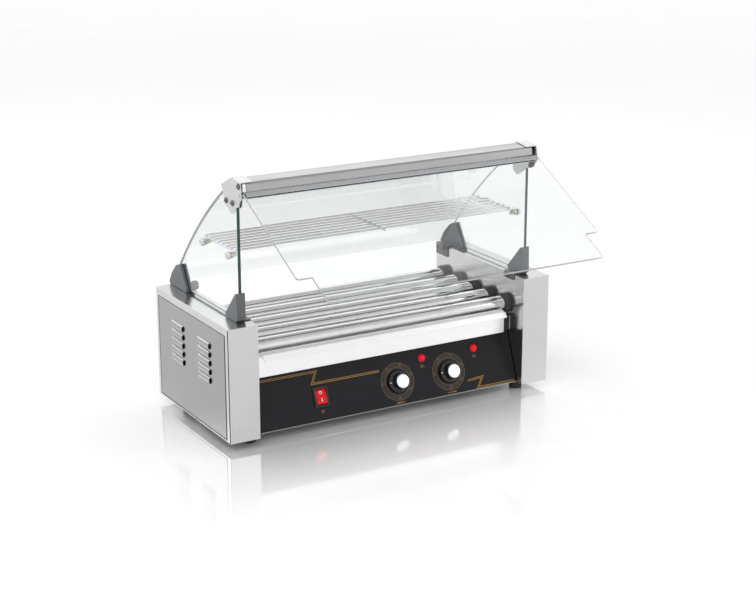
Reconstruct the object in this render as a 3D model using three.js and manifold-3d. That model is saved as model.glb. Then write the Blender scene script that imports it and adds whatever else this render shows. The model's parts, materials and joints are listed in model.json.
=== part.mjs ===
// Hot dog roller grill with a bun rack, a clear hood and a slide-out drip tray.
// Millimetres, +Z up. The origin is on the ground, in the middle of the grill's outer box.
// Inside the main group, y = 0 is the front face of the side housings and x = 0 is the middle.
import * as THREE from 'three';
import { mergeVertices } from 'three/addons/utils/BufferGeometryUtils.js';
import Module from 'manifold-3d';

const wasm = await Module();
wasm.setup();

// ---------- driving dimensions ----------
const WIDTH = 580;                       // over the two housings
const DEPTH = 266;                       // front face to rear face of the housings
const FOOT_HEIGHT = 12;
const BODY_HEIGHT = 181.4;
const HOUSING_WIDTH = 49.5;
const WALL = 1.5;                        // housing sheet
const SHEET = 1.2;                       // thinner folded sheet
const GAP = 0.3;                         // air between pieces that touch
const ROLLER_COUNT = 5;
const ROLLER_RADIUS = 12.5;
const ROLLER_PITCH = 47;
const FIRST_ROLLER_Y = 50;
const HOOD_OPEN_DEGREES = 62;            // front flap, measured from hanging straight down
const PANEL_TILT_DEGREES = 20.3;         // control panel, leaning back from upright

// ---------- dimensions worked out from them ----------
const BODY_BOTTOM = FOOT_HEIGHT + GAP;
const BODY_TOP = FOOT_HEIGHT + BODY_HEIGHT;
const OUTER_X = WIDTH / 2;
const INNER_X = OUTER_X - HOUSING_WIDTH;
const ROLLER_Z = BODY_TOP - 51.4;
const rollerY = (index) => FIRST_ROLLER_Y + index * ROLLER_PITCH;
const ROLLER_YS = Array.from({ length: ROLLER_COUNT }, (_, index) => rollerY(index));

const radians = THREE.MathUtils.degToRad;

// ---------- materials ----------
const finish = (color, roughness, metalness, extra = {}) =>
  new THREE.MeshStandardMaterial({ color, roughness, metalness, ...extra });
const BRUSHED_STEEL = finish(0xc4c5c6, 0.34, 1);
const BRIGHT_STEEL = finish(0xe2e3e4, 0.22, 1);
const CHROME = finish(0xf0f0f0, 0.06, 1);
const PANEL_BLACK = finish(0x1c1c20, 0.18, 0);
const MATT_BLACK = finish(0x151516, 0.5, 0);
const CLAMP_GREY = finish(0x5c5f66, 0.42, 0.2);
const RUBBER = finish(0x111111, 0.8, 0);
const GLASS = finish(0xd5ece8, 0.03, 0, { transparent: true, opacity: 0.35 });
const ACRYLIC = finish(0xf2f8f8, 0.04, 0, { transparent: true, opacity: 0.3 });
const RED_LENS = finish(0xd3121a, 0.15, 0);
const GALVANISED = finish(0xa9adb0, 0.45, 1);
const CERAMIC = finish(0xe6e0d2, 0.7, 0);

// ---------- geometry helpers ----------
const outline = (points) => new THREE.Shape(points.map(([a, b]) => new THREE.Vector2(a, b)));

// A rectangle round (cx, cy) with its corners rounded.
function roundedRectangle(cx, cy, width, height, radius) {
  const x = cx - width / 2;
  const y = cy - height / 2;
  const shape = new THREE.Shape();
  shape.absarc(x + width - radius, y + radius, radius, -Math.PI / 2, 0);
  shape.absarc(x + width - radius, y + height - radius, radius, 0, Math.PI / 2);
  shape.absarc(x + radius, y + height - radius, radius, Math.PI / 2, Math.PI);
  shape.absarc(x + radius, y + radius, radius, Math.PI, 1.5 * Math.PI);
  return shape;
}

// The path shifted sideways by a distance: positive to its left, with mitred corners.
function shiftedPath(points, distance) {
  const corners = points.map(([a, b]) => new THREE.Vector2(a, b));
  const leftOf = (from, to) => {
    const along = to.clone().sub(from).normalize();
    return new THREE.Vector2(-along.y, along.x);
  };
  return corners.map((corner, index) => {
    const before = index > 0 ? leftOf(corners[index - 1], corner) : leftOf(corner, corners[1]);
    const after = index < corners.length - 1 ? leftOf(corner, corners[index + 1]) : before;
    const middle = before.clone().add(after).normalize();
    const reach = distance / middle.dot(before);
    return [corner.x + middle.x * reach, corner.y + middle.y * reach];
  });
}

// The section of a sheet folded along a path, with its thickness to the left of the path.
const foldedSheet = (points, thickness) =>
  outline([...points, ...shiftedPath(points, thickness).reverse()]);

const axisX = new THREE.Vector3(1, 0, 0);
const axisY = new THREE.Vector3(0, 1, 0);
const axisZ = new THREE.Vector3(0, 0, 1);

// Extrusions along one axis. A section for x is drawn in (y, z), and one for y in (x, z).
function extruded(shape, length, curveSegments) {
  return new THREE.ExtrudeGeometry(shape, { depth: length, bevelEnabled: false, curveSegments });
}
function alongX(shape, x0, x1, curveSegments = 8) {
  const turn = new THREE.Matrix4().makeBasis(axisY, axisZ, axisX);
  return extruded(shape, x1 - x0, curveSegments).applyMatrix4(turn).translate(x0, 0, 0);
}
function alongY(shape, y0, y1, curveSegments = 8) {
  const turn = new THREE.Matrix4().makeBasis(axisX, axisZ, axisY.clone().negate());
  return extruded(shape, y1 - y0, curveSegments).applyMatrix4(turn).translate(0, y1, 0);
}
function box(x0, x1, y0, y1, z0, z1) {
  const geometry = new THREE.BoxGeometry(x1 - x0, y1 - y0, z1 - z0);
  return geometry.translate((x0 + x1) / 2, (y0 + y1) / 2, (z0 + z1) / 2);
}

// A round bar from one place on an axis to another, through the point (a, b) across that axis.
function barX(radius, x0, x1, y, z, sides = 24) {
  const bar = new THREE.CylinderGeometry(radius, radius, x1 - x0, sides);
  return bar.rotateZ(-Math.PI / 2).translate((x0 + x1) / 2, y, z);
}
function barY(radius, y0, y1, x, z, sides = 24) {
  const bar = new THREE.CylinderGeometry(radius, radius, y1 - y0, sides);
  return bar.translate(x, (y0 + y1) / 2, z);
}

// A turned piece: the profile is a list of [radius, place along the axis].
function turned(profile, sides) {
  return new THREE.LatheGeometry(profile.map(([r, a]) => new THREE.Vector2(r, a)), sides);
}
// Closed profiles that keep clear of the axis, such as rings and tubes, repeat their first point.
const turnedRing = (profile, sides) => turned([...profile, profile[0]], sides);
const ontoX = (geometry) => geometry.rotateZ(-Math.PI / 2);
const ontoZ = (geometry) => geometry.rotateX(Math.PI / 2);

// Booleans.
function toSolid(geometry) {
  const bare = geometry.clone();
  bare.deleteAttribute('normal');
  bare.deleteAttribute('uv');
  const merged = mergeVertices(bare, 1e-4);
  const corners = [];
  for (let i = 0; i < merged.index.count; i += 3) {
    const [a, b, c] = [0, 1, 2].map((step) => merged.index.getX(i + step));
    if (a !== b && b !== c && c !== a) corners.push(a, b, c);
  }
  const vertProperties = new Float32Array(merged.attributes.position.array);
  const mesh = new wasm.Mesh({ numProp: 3, vertProperties, triVerts: new Uint32Array(corners) });
  return new wasm.Manifold(mesh);
}
function toGeometry(solid) {
  const mesh = solid.getMesh();
  const geometry = new THREE.BufferGeometry();
  geometry.setAttribute('position', new THREE.BufferAttribute(mesh.vertProperties, 3));
  geometry.setIndex(new THREE.BufferAttribute(mesh.triVerts, 1));
  geometry.computeVertexNormals();
  return geometry;
}
const joined = (first, ...others) =>
  toGeometry(others.reduce((solid, other) => solid.add(toSolid(other)), toSolid(first)));
const cut = (base, ...tools) =>
  toGeometry(tools.reduce((solid, tool) => solid.subtract(toSolid(tool)), toSolid(base)));

// The same shape on the other side of the middle plane x = 0.
function mirrored(geometry) {
  const twin = (geometry.index ? geometry.toNonIndexed() : geometry.clone()).scale(-1, 1, 1);
  const position = twin.attributes.position;
  const corner = new THREE.Vector3();
  const other = new THREE.Vector3();
  for (let i = 0; i < position.count; i += 3) {
    corner.fromBufferAttribute(position, i + 1);
    other.fromBufferAttribute(position, i + 2);
    position.setXYZ(i + 1, other.x, other.y, other.z);
    position.setXYZ(i + 2, corner.x, corner.y, corner.z);
  }
  twin.computeVertexNormals();
  return twin;
}

const machine = new THREE.Group();

function addPart(name, geometry, material, parent = machine) {
  const mesh = new THREE.Mesh(geometry, material);
  mesh.name = name;
  parent.add(mesh);
  return mesh;
}
function addPair(name, rightGeometry, material) {
  addPart(`${name}_right`, rightGeometry, material);
  addPart(`${name}_left`, mirrored(rightGeometry), material);
}

// ---------- side housings ----------
// Folded boxes. The outer face has a recessed seat for the screwed-on cover. Inside hangs the
// strip that carries the heaters, and outside, on the inner wall, is the rail for the drip tray.
const COVER = { y0: 12.5, y1: 259, z0: BODY_BOTTOM + 2, z1: BODY_TOP - 12.4 };
const SEAT_LEDGE = 7;
const BUSHING_HUB_RADIUS = 14.2;
const HEATER_RADIUS = 5;
const CARRIER_X = INNER_X + 21.5;
const RAIL_TOP = 100.5;
const RAIL_THICKNESS = 2;
const RAIL_REACH = 26;
const TRAY_STOP = { width: 12, y0: 38, y1: 48, top: 122 };

function housing() {
  const shell = box(INNER_X, OUTER_X, 0, DEPTH, BODY_BOTTOM, BODY_TOP);
  const hollow = box(INNER_X + WALL, OUTER_X - 2 * WALL, WALL, DEPTH - WALL,
    BODY_BOTTOM + WALL, BODY_TOP - WALL);
  const seat = box(OUTER_X - WALL, OUTER_X + 1, COVER.y0, COVER.y1, COVER.z0, COVER.z1);
  const opening = box(OUTER_X - 3 * WALL, OUTER_X, COVER.y0 + SEAT_LEDGE, COVER.y1 - SEAT_LEDGE,
    COVER.z0 + SEAT_LEDGE, COVER.z1 - SEAT_LEDGE);
  const bushingHoles = ROLLER_YS.map((y) =>
    barX(BUSHING_HUB_RADIUS + GAP, INNER_X - 1, INNER_X + WALL + 1, y, ROLLER_Z, 20));
  const carrier = box(CARRIER_X, CARRIER_X + SHEET, 30, 256, 128, BODY_TOP - WALL / 2);
  const heaterHoles = ROLLER_YS.map((y) =>
    barX(HEATER_RADIUS + GAP, CARRIER_X - 1, CARRIER_X + SHEET + 1, y, ROLLER_Z, 12));
  const rail = box(INNER_X - RAIL_REACH, INNER_X + WALL / 2, TRAY_STOP.y0 + 2, DEPTH - 8,
    RAIL_TOP - RAIL_THICKNESS, RAIL_TOP);
  const stop = box(INNER_X - TRAY_STOP.width, INNER_X + WALL / 2, TRAY_STOP.y0, TRAY_STOP.y1,
    RAIL_TOP - RAIL_THICKNESS, TRAY_STOP.top);
  const body = joined(cut(shell, hollow, seat, opening), carrier, rail, stop);
  return cut(body, ...bushingHoles, ...heaterHoles);
}
addPair('housing', housing(), BRUSHED_STEEL);

// ---------- side covers with pressed louvres ----------
// Each louvre is a bridge pushed out of the sheet, open at its front end and closed at its rear.
const LOUVRE = { length: 44, pitch: 13.8, rows: 5, top: 149, stand: 3.2, halfRoot: 5, halfCrest: 3 };
const LOUVRE_FRONTS = [67, 164];
const ROOT_X = OUTER_X - 0.4;
const CREST_X = OUTER_X + LOUVRE.stand;

function louvre(y0, z) {
  const path = [[ROOT_X, z - LOUVRE.halfRoot], [CREST_X, z - LOUVRE.halfCrest],
    [CREST_X, z + LOUVRE.halfCrest], [ROOT_X, z + LOUVRE.halfRoot]];
  const rear = y0 + LOUVRE.length;
  return [alongY(foldedSheet(path, 1), y0, rear), alongY(outline(path), rear - 1, rear)];
}
function sideCover() {
  const edge = 0.4;
  const plate = box(OUTER_X - WALL + GAP, OUTER_X, COVER.y0 + edge, COVER.y1 - edge,
    COVER.z0 + edge, COVER.z1 - edge);
  const slots = [];
  const louvres = [];
  for (const y0 of LOUVRE_FRONTS) {
    for (let row = 0; row < LOUVRE.rows; row++) {
      const z = LOUVRE.top - row * LOUVRE.pitch;
      const half = LOUVRE.halfRoot - 1.2;
      slots.push(box(OUTER_X - 3, OUTER_X + 1, y0 - 0.5, y0 + LOUVRE.length - 1, z - half, z + half));
      louvres.push(...louvre(y0, z));
    }
  }
  return joined(cut(plate, ...slots), ...louvres);
}
addPair('side_cover', sideCover(), BRUSHED_STEEL);

// ---------- base and back, folded from one sheet ----------
const BACK_TOP = 145;
const GLAND = { x: 196, z: 40, bodyRadius: 6 };

function baseAndBack() {
  const path = [[16, BODY_BOTTOM], [DEPTH, BODY_BOTTOM], [DEPTH, BACK_TOP], [DEPTH - 9, BACK_TOP]];
  const sheet = alongX(foldedSheet(path, SHEET), -INNER_X + GAP, INNER_X - GAP);
  const glandHole = barY(GLAND.bodyRadius + GAP, DEPTH - 5, DEPTH + 5, GLAND.x, GLAND.z);
  return cut(sheet, glandHole);
}
addPart('base_and_back', baseAndBack(), BRUSHED_STEEL);

// Cord inlet, open for the supply cord. Its nut is inside the back.
const glandProfile = [[3.6, -9], [8, -9], [8, -SHEET - GAP], [GLAND.bodyRadius, -SHEET - GAP],
  [GLAND.bodyRadius, GAP], [9, GAP], [9, 2.5], [6.4, 6], [3.6, 6]];
addPart('cord_gland', turnedRing(glandProfile, 14), MATT_BLACK)
  .position.set(GLAND.x, DEPTH, GLAND.z);

// ---------- control panel ----------
// In the panel's own group, x is across, z runs up the slope and y points into the grill.
const PANEL = { half: INNER_X - 1, length: 88, thickness: 1.5, footY: 13.8, footZ: 15.2 };
const DIAL = { xs: [18, 114.5], up: 36.6 };
const LAMP = { xs: [67.7, 167], up: 66.6, holeRadius: 5.5 };
const SWITCH = { x: -122, up: 36.6, bezelWidth: 25, bezelHeight: 31, holeWidth: 22, holeHeight: 28 };
const SHAFT_RADIUS = 3;

const panelGroup = new THREE.Group();
panelGroup.position.set(0, PANEL.footY, PANEL.footZ);
panelGroup.rotation.x = -radians(PANEL_TILT_DEGREES);
machine.add(panelGroup);

function panelSheet() {
  const through = [-1, PANEL.thickness + 1];
  const sheet = box(-PANEL.half, PANEL.half, 0, PANEL.thickness, 0, PANEL.length);
  const dialHoles = DIAL.xs.map((x) => barY(SHAFT_RADIUS + 1.2, ...through, x, DIAL.up, 16));
  const lampHoles = LAMP.xs.map((x) => barY(LAMP.holeRadius, ...through, x, LAMP.up, 16));
  const switchHole = box(SWITCH.x - SWITCH.holeWidth / 2, SWITCH.x + SWITCH.holeWidth / 2, ...through,
    SWITCH.up - SWITCH.holeHeight / 2, SWITCH.up + SWITCH.holeHeight / 2);
  return cut(sheet, ...dialHoles, ...lampHoles, switchHole);
}
addPart('control_panel', panelSheet(), PANEL_BLACK, panelGroup);

// Knob: skirt, fluted grip and crowned cap, bored from behind for the thermostat's shaft.
// Its profile is [radius, place along y], and the front is towards -y.
const KNOB = { skirt: 17.5, grip: 12.4, height: 17.5, bore: 10 };
const knobProfile = [[0, -KNOB.height - 0.8], [8, -KNOB.height - 0.4], [11.6, -KNOB.height + 0.6],
  [KNOB.grip, -KNOB.height + 2], [13, -6], [KNOB.skirt - 0.8, -5], [KNOB.skirt, -4], [KNOB.skirt, -1],
  [SHAFT_RADIUS + GAP, -1], [SHAFT_RADIUS + GAP, -1 - KNOB.bore], [0, -1 - KNOB.bore]];

// Thermostat: a block behind the panel with the shaft that carries the knob.
function thermostat() {
  const block = box(-17, 17, PANEL.thickness + GAP, PANEL.thickness + 30, -16, 16);
  const neck = barY(SHAFT_RADIUS + 0.8, -0.4, PANEL.thickness + 2, 0, 0, 16);
  const shaft = barY(SHAFT_RADIUS, -9, PANEL.thickness + 2, 0, 0, 16);
  return joined(block, neck, shaft);
}
DIAL.xs.forEach((x, index) => {
  const knob = turned(knobProfile, 22);
  addPart(`knob_${index + 1}`, knob, MATT_BLACK, panelGroup).position.set(x, 0, DIAL.up);
  addPart(`thermostat_${index + 1}`, thermostat(), CERAMIC, panelGroup)
    .position.set(x, 0, DIAL.up);
});

// Pilot lamps: domed lens and body in one, held by a nut behind the panel.
const lampProfile = [[0, -6.6], [3.4, -5.8], [5.6, -3.8], [6.4, -1.9], [7.8, -1.7], [7.8, -GAP],
  [LAMP.holeRadius - GAP, -GAP], [LAMP.holeRadius - GAP, PANEL.thickness + GAP],
  [8, PANEL.thickness + GAP], [8, 6], [4.6, 6], [4.6, 20], [0, 20]];
LAMP.xs.forEach((x, index) => {
  addPart(`pilot_lamp_${index + 1}`, turned(lampProfile, 14), RED_LENS, panelGroup)
    .position.set(x, 0, LAMP.up);
});

// Power switch: a bezel and case with a recess, and the rocker that tips about x in the recess.
const ROCKER = { width: 17.6, halfHeight: 12, pivotDepth: 3, crown: 3.2, edge: 1.2, tip: 9 };
function switchCase() {
  const bezel = alongY(roundedRectangle(0, 0, SWITCH.bezelWidth, SWITCH.bezelHeight, 2), -2.5, -GAP, 3);
  const body = box(-SWITCH.holeWidth / 2 + GAP, SWITCH.holeWidth / 2 - GAP, -1, 22,
    -SWITCH.holeHeight / 2 + GAP, SWITCH.holeHeight / 2 - GAP);
  const recess = box(-9.3, 9.3, -4, 8, -12.9, 12.9);
  return cut(joined(bezel, body), recess);
}
addPart('switch_case', switchCase(), MATT_BLACK, panelGroup).position.set(SWITCH.x, 0, SWITCH.up);

// The section of the rocker in (y, z), round its pivot.
function rocker() {
  const front = -ROCKER.crown - ROCKER.pivotDepth;
  const shoulder = -ROCKER.edge - ROCKER.pivotDepth;
  const section = outline([[front, 0], [shoulder, -ROCKER.halfHeight], [1, -ROCKER.halfHeight],
    [2, 0], [1, ROCKER.halfHeight], [shoulder, ROCKER.halfHeight]]);
  return alongX(section, -ROCKER.width / 2, ROCKER.width / 2);
}
const rockerMesh = addPart('switch_rocker', rocker(), RED_LENS, panelGroup);
rockerMesh.position.set(SWITCH.x, ROCKER.pivotDepth, SWITCH.up);
rockerMesh.rotation.x = -radians(ROCKER.tip);

// ---------- rollers, bushings and heaters ----------
const SPROCKET = { x0: INNER_X + 6.5, x1: INNER_X + 9.5, rollerTeeth: 15, motorTeeth: 14 };
const CHAIN_PITCH = 6.35;
const TOOTH_HEIGHT = 1.6;
const pitchRadius = (teeth) => (teeth * CHAIN_PITCH) / (2 * Math.PI);

function sprocketOutline(teeth, holeRadius) {
  const root = pitchRadius(teeth) - TOOTH_HEIGHT;
  const tip = pitchRadius(teeth) + TOOTH_HEIGHT / 2;
  const points = [];
  for (let tooth = 0; tooth < teeth; tooth++) {
    for (const [part, radius] of [[0, root], [0.4, root], [0.6, tip], [0.8, tip]]) {
      const angle = ((tooth + part) / teeth) * 2 * Math.PI;
      points.push([radius * Math.cos(angle), radius * Math.sin(angle)]);
    }
  }
  const shape = outline(points);
  const hole = new THREE.Path();
  hole.absarc(0, 0, holeRadius, 0, 2 * Math.PI, true);
  shape.holes.push(hole);
  return shape;
}

const TUBE_BORE = ROLLER_RADIUS - 1.3;
const TUBE_END = SPROCKET.x1 + 1;
const tubeProfile = [[TUBE_BORE, -TUBE_END], [ROLLER_RADIUS, -TUBE_END], [ROLLER_RADIUS, TUBE_END],
  [TUBE_BORE, TUBE_END]];
function roller() {
  const tube = ontoX(turnedRing(tubeProfile, 24));
  const sprocket = alongX(sprocketOutline(SPROCKET.rollerTeeth, ROLLER_RADIUS - 0.6),
    SPROCKET.x0, SPROCKET.x1, 12);
  return joined(tube, sprocket);
}

// Flanged collar on the inner wall. The roller runs in its bore.
const COLLAR = { radius: 16.5, width: 9.5, bore: ROLLER_RADIUS + GAP, hubLength: 4.5 };
const bushingProfile = [[COLLAR.bore, INNER_X - GAP - COLLAR.width],
  [COLLAR.radius - 1, INNER_X - GAP - COLLAR.width], [COLLAR.radius, INNER_X - COLLAR.width + 1],
  [COLLAR.radius, INNER_X - GAP], [BUSHING_HUB_RADIUS, INNER_X - GAP],
  [BUSHING_HUB_RADIUS, INNER_X + COLLAR.hubLength], [COLLAR.bore, INNER_X + COLLAR.hubLength]];

// Tubular heater: a steel rod with a thinner ceramic terminal at each end.
const HEATER_END = CARRIER_X + 4;
const TERMINAL_END = HEATER_END + 10;
const heaterProfile = [[0, -TERMINAL_END], [2, -TERMINAL_END], [2, -HEATER_END],
  [HEATER_RADIUS, -HEATER_END], [HEATER_RADIUS, HEATER_END], [2, HEATER_END], [2, TERMINAL_END],
  [0, TERMINAL_END]];

ROLLER_YS.forEach((y, index) => {
  const number = index + 1;
  addPart(`roller_${number}`, roller(), CHROME).position.set(0, y, ROLLER_Z);
  addPart(`heater_${number}`, ontoX(turned(heaterProfile, 12)), GALVANISED)
    .position.set(0, y, ROLLER_Z);
  const bushing = ontoX(turnedRing(bushingProfile, 20));
  addPart(`bushing_right_${number}`, bushing, MATT_BLACK).position.set(0, y, ROLLER_Z);
  addPart(`bushing_left_${number}`, mirrored(bushing), MATT_BLACK).position.set(0, y, ROLLER_Z);
});

// ---------- drive in the right housing ----------
const MOTOR = { y: rollerY(2), z: 72, caseX: INNER_X + 16, shaftRadius: 4 };

// The motor's sprocket with its shaft, which runs into a bore in the gear case.
function motorSprocket() {
  const disc = alongX(sprocketOutline(SPROCKET.motorTeeth, MOTOR.shaftRadius - 0.5),
    SPROCKET.x0, SPROCKET.x1);
  const shaft = barX(MOTOR.shaftRadius, SPROCKET.x0 - 1, MOTOR.caseX + 8, 0, 0, 16);
  return joined(disc, shaft);
}
addPart('motor_sprocket', motorSprocket(), GALVANISED).position.set(0, MOTOR.y, MOTOR.z);

// Gear case on four spacers from the housing's inner wall, with the motor can behind it.
function gearMotor() {
  const gearCase = box(MOTOR.caseX, MOTOR.caseX + 12, -32, 32, -30, 30);
  const can = barX(24, MOTOR.caseX + 11, OUTER_X - 4, 0, 0, 20);
  const spacers = [-1, 1].flatMap((side) => [-1, 1].map((level) =>
    barX(3.5, INNER_X + WALL + GAP, MOTOR.caseX + 1, side * 27, level * 25, 10)));
  const bore = barX(MOTOR.shaftRadius + GAP, MOTOR.caseX - 1, MOTOR.caseX + 9, 0, 0, 16);
  return cut(joined(gearCase, can, ...spacers), bore);
}
addPart('gear_motor', gearMotor(), GALVANISED).position.set(0, MOTOR.y, MOTOR.z);

// A closed path round three circles [y, z, radius], taken anticlockwise, at a distance outside.
function loopRound(circles, distance) {
  const path = new THREE.Path();
  const normalAngle = (from, to) => {
    const [dy, dz] = [to[0] - from[0], to[1] - from[1]];
    return Math.atan2(dz, dy) - Math.acos((from[2] - to[2]) / Math.hypot(dy, dz));
  };
  circles.forEach((circle, index) => {
    const before = circles[(index + circles.length - 1) % circles.length];
    const after = circles[(index + 1) % circles.length];
    path.absarc(circle[0], circle[1], circle[2] + distance, normalAngle(before, circle),
      normalAngle(circle, after));
  });
  return path;
}
function driveChain() {
  const tipRadius = (teeth) => pitchRadius(teeth) + TOOTH_HEIGHT / 2;
  const wheels = [
    [MOTOR.y, MOTOR.z, tipRadius(SPROCKET.motorTeeth)],
    [rollerY(ROLLER_COUNT - 1), ROLLER_Z, tipRadius(SPROCKET.rollerTeeth)],
    [rollerY(0), ROLLER_Z, tipRadius(SPROCKET.rollerTeeth)],
  ];
  const section = new THREE.Shape(loopRound(wheels, 4).getPoints(8));
  section.holes.push(new THREE.Path(loopRound(wheels, 0.4).getPoints(8)));
  return alongX(section, SPROCKET.x0, SPROCKET.x1);
}
addPart('drive_chain', driveChain(), GALVANISED);

// ---------- drip tray ----------
// A shallow pan on the rails, with a front plate and a forward nose to pull it by.
const TRAY = {
  half: 226, front: 33.5, rear: 252, floor: RAIL_TOP + GAP, rim: 117, skirt: 96.5, plateTop: 137,
};
const NOSE = { half: 222, path: [[TRAY.front + 0.6, 129.8], [24, 135], [18.5, 126.5]] };

function dripTray() {
  const pan = cut(
    box(-TRAY.half, TRAY.half, TRAY.front, TRAY.rear, TRAY.floor, TRAY.rim),
    box(-TRAY.half + SHEET, TRAY.half - SHEET, TRAY.front + SHEET, TRAY.rear - SHEET,
      TRAY.floor + SHEET, TRAY.rim + 1),
  );
  const corner = 8;
  const plateShape = new THREE.Shape();
  plateShape.moveTo(-TRAY.half, TRAY.skirt);
  plateShape.lineTo(TRAY.half, TRAY.skirt);
  plateShape.absarc(TRAY.half - corner, TRAY.plateTop - corner, corner, 0, Math.PI / 2);
  plateShape.absarc(-TRAY.half + corner, TRAY.plateTop - corner, corner, Math.PI / 2, Math.PI);
  const plate = alongY(plateShape, TRAY.front, TRAY.front + SHEET, 4);
  const nose = alongX(foldedSheet(NOSE.path, SHEET), -NOSE.half, NOSE.half);
  return joined(pan, plate, nose);
}
addPart('drip_tray', dripTray(), BRIGHT_STEEL);

// ---------- hood: side glasses and curved rear screen ----------
// The rear edge of the glasses is an arc of one circle, and the screen lies on it.
const ARC_RADIUS = 790;
const ARC_TOP = new THREE.Vector2(69, 385);
const ARC_END = new THREE.Vector2(261, 198);
const arcChord = ARC_END.clone().sub(ARC_TOP);
const ARC_CENTRE = ARC_TOP.clone().add(ARC_END).multiplyScalar(0.5).sub(
  new THREE.Vector2(-arcChord.y, arcChord.x).normalize()
    .multiplyScalar(Math.sqrt(ARC_RADIUS ** 2 - arcChord.lengthSq() / 4)));
const arcAngleAtY = (radius, y) => Math.acos((y - ARC_CENTRE.x) / radius);
const arcAngleAtZ = (radius, z) => Math.asin((z - ARC_CENTRE.y) / radius);

const GLASS_X = { inner: 255, outer: 260 };
const GLASS_FRONT = 24;
const GLASS_BOTTOM = BODY_TOP + 4;
const GLASS_TOP = 402;
const GLASS_TOP_REAR = 44;
function sideGlass() {
  const lowest = GLASS_BOTTOM + 1.5;
  const shape = new THREE.Shape();
  const rearBottom = ARC_CENTRE.x + ARC_RADIUS * Math.cos(arcAngleAtZ(ARC_RADIUS, lowest));
  shape.moveTo(GLASS_FRONT, GLASS_BOTTOM);
  shape.lineTo(rearBottom, GLASS_BOTTOM);
  shape.absarc(ARC_CENTRE.x, ARC_CENTRE.y, ARC_RADIUS, arcAngleAtZ(ARC_RADIUS, lowest),
    arcAngleAtY(ARC_RADIUS, GLASS_TOP_REAR));
  shape.lineTo(GLASS_TOP_REAR - 4, GLASS_TOP - 2);
  shape.lineTo(GLASS_FRONT, GLASS_TOP - 2);
  const pane = alongX(shape, GLASS_X.inner, GLASS_X.outer, 20);
  return cut(pane, ...RACK_PIN_YS.map((y) =>
    barX(RACK_PIN.radius + GAP, GLASS_X.inner - 1, GLASS_X.outer + 1, y, RACK_PIN.z, 14)));
}

const SCREEN = { thickness: 2.5, half: GLASS_X.outer, topY: 52, bottomZ: BODY_TOP + 4 };
function rearScreen() {
  const inner = ARC_RADIUS + GAP;
  const outer = inner + SCREEN.thickness;
  const start = arcAngleAtZ(inner, SCREEN.bottomZ);
  const end = arcAngleAtY(inner, SCREEN.topY);
  const shape = new THREE.Shape();
  shape.absarc(ARC_CENTRE.x, ARC_CENTRE.y, outer, start, end);
  shape.absarc(ARC_CENTRE.x, ARC_CENTRE.y, inner, end, start, true);
  return alongX(shape, -SCREEN.half, SCREEN.half, 20);
}
addPart('rear_screen', rearScreen(), ACRYLIC);

// ---------- hood: top bar and its end brackets ----------
const BAR_PATH = [[70, 395], [32, 413], [6, 409.5], [4, 397]];
const BAR_HALF = 253;
const HINGE = { y: 8.5, z: 391, pinRadius: 2.3 };

addPart('top_bar', alongX(foldedSheet(BAR_PATH, WALL), -BAR_HALF, BAR_HALF), BRUSHED_STEEL);

// The right bracket: an outer plate, a flange over the bar's end, and a tongue inside the glass.
const BRACKET = { inner: GLASS_X.outer + 1.2, flangeX: 242, tongueX: BAR_HALF + GAP };
function hoodBracket() {
  const flangePath = shiftedPath(BAR_PATH.slice(0, 3), -GAP);
  const flange = alongX(foldedSheet(flangePath, -SHEET), BRACKET.flangeX, BRACKET.inner + WALL);
  const crest = shiftedPath(flangePath, -SHEET);
  const plate = alongX(outline([...crest, [3, 398], [3.4, 385], [8, 381], [12.7, 373], [23, 370],
    [52, 366], [59, 372], [63, 386]].reverse()), BRACKET.inner, BRACKET.inner + WALL);
  const tongue = alongX(outline([[16, 412], [30, 413.6], [46, 407.2], [46, 398], [60, 383], [57, 362],
    [48, 355], [40, 358], [18, 372], [16, 380]].reverse()), BRACKET.tongueX, BRACKET.tongueX + SHEET);
  const pinHole = barX(HINGE.pinRadius + GAP, BRACKET.inner - 1, BRACKET.inner + 3, HINGE.y, HINGE.z, 16);
  return cut(joined(plate, flange, tongue), pinHole);
}
addPair('hood_bracket', hoodBracket(), BRUSHED_STEEL);

// ---------- hood: front flap ----------
// In the flap's group the hinge axis is the origin and the sheet hangs down, in front of the axis.
const FLAP = { half: 260.2, wideLength: 191.5, tongueHalf: 236, length: 245.5, offset: 6, thickness: 3 };
const RAIL = { half: 257, knuckle: 4.5, grip: 14, wall: 1.1 };
const flapGroup = new THREE.Group();
flapGroup.position.set(0, HINGE.y, HINGE.z);
flapGroup.rotation.x = -radians(HOOD_OPEN_DEGREES);
machine.add(flapGroup);

function flapRail() {
  const slotHalf = FLAP.thickness / 2 + GAP;
  const [back, front] = [-FLAP.offset + slotHalf + RAIL.wall, -FLAP.offset - slotHalf - RAIL.wall];
  const knuckle = barX(RAIL.knuckle, -RAIL.half, RAIL.half, 0, 0, 20);
  const channel = box(-RAIL.half, RAIL.half, front, back, -RAIL.grip, -4);
  const web = box(-RAIL.half, RAIL.half, back - 1, 0, -8, 0);
  const pins = barX(HINGE.pinRadius, -BRACKET.inner - WALL - 0.4, BRACKET.inner + WALL + 0.4, 0, 0, 16);
  const slot = box(-RAIL.half - 1, RAIL.half + 1, -FLAP.offset - slotHalf, -FLAP.offset + slotHalf,
    -RAIL.grip - 1, -5.2);
  return cut(joined(knuckle, channel, web, pins), slot);
}
addPart('flap_rail', flapRail(), BRUSHED_STEEL, flapGroup);

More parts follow.
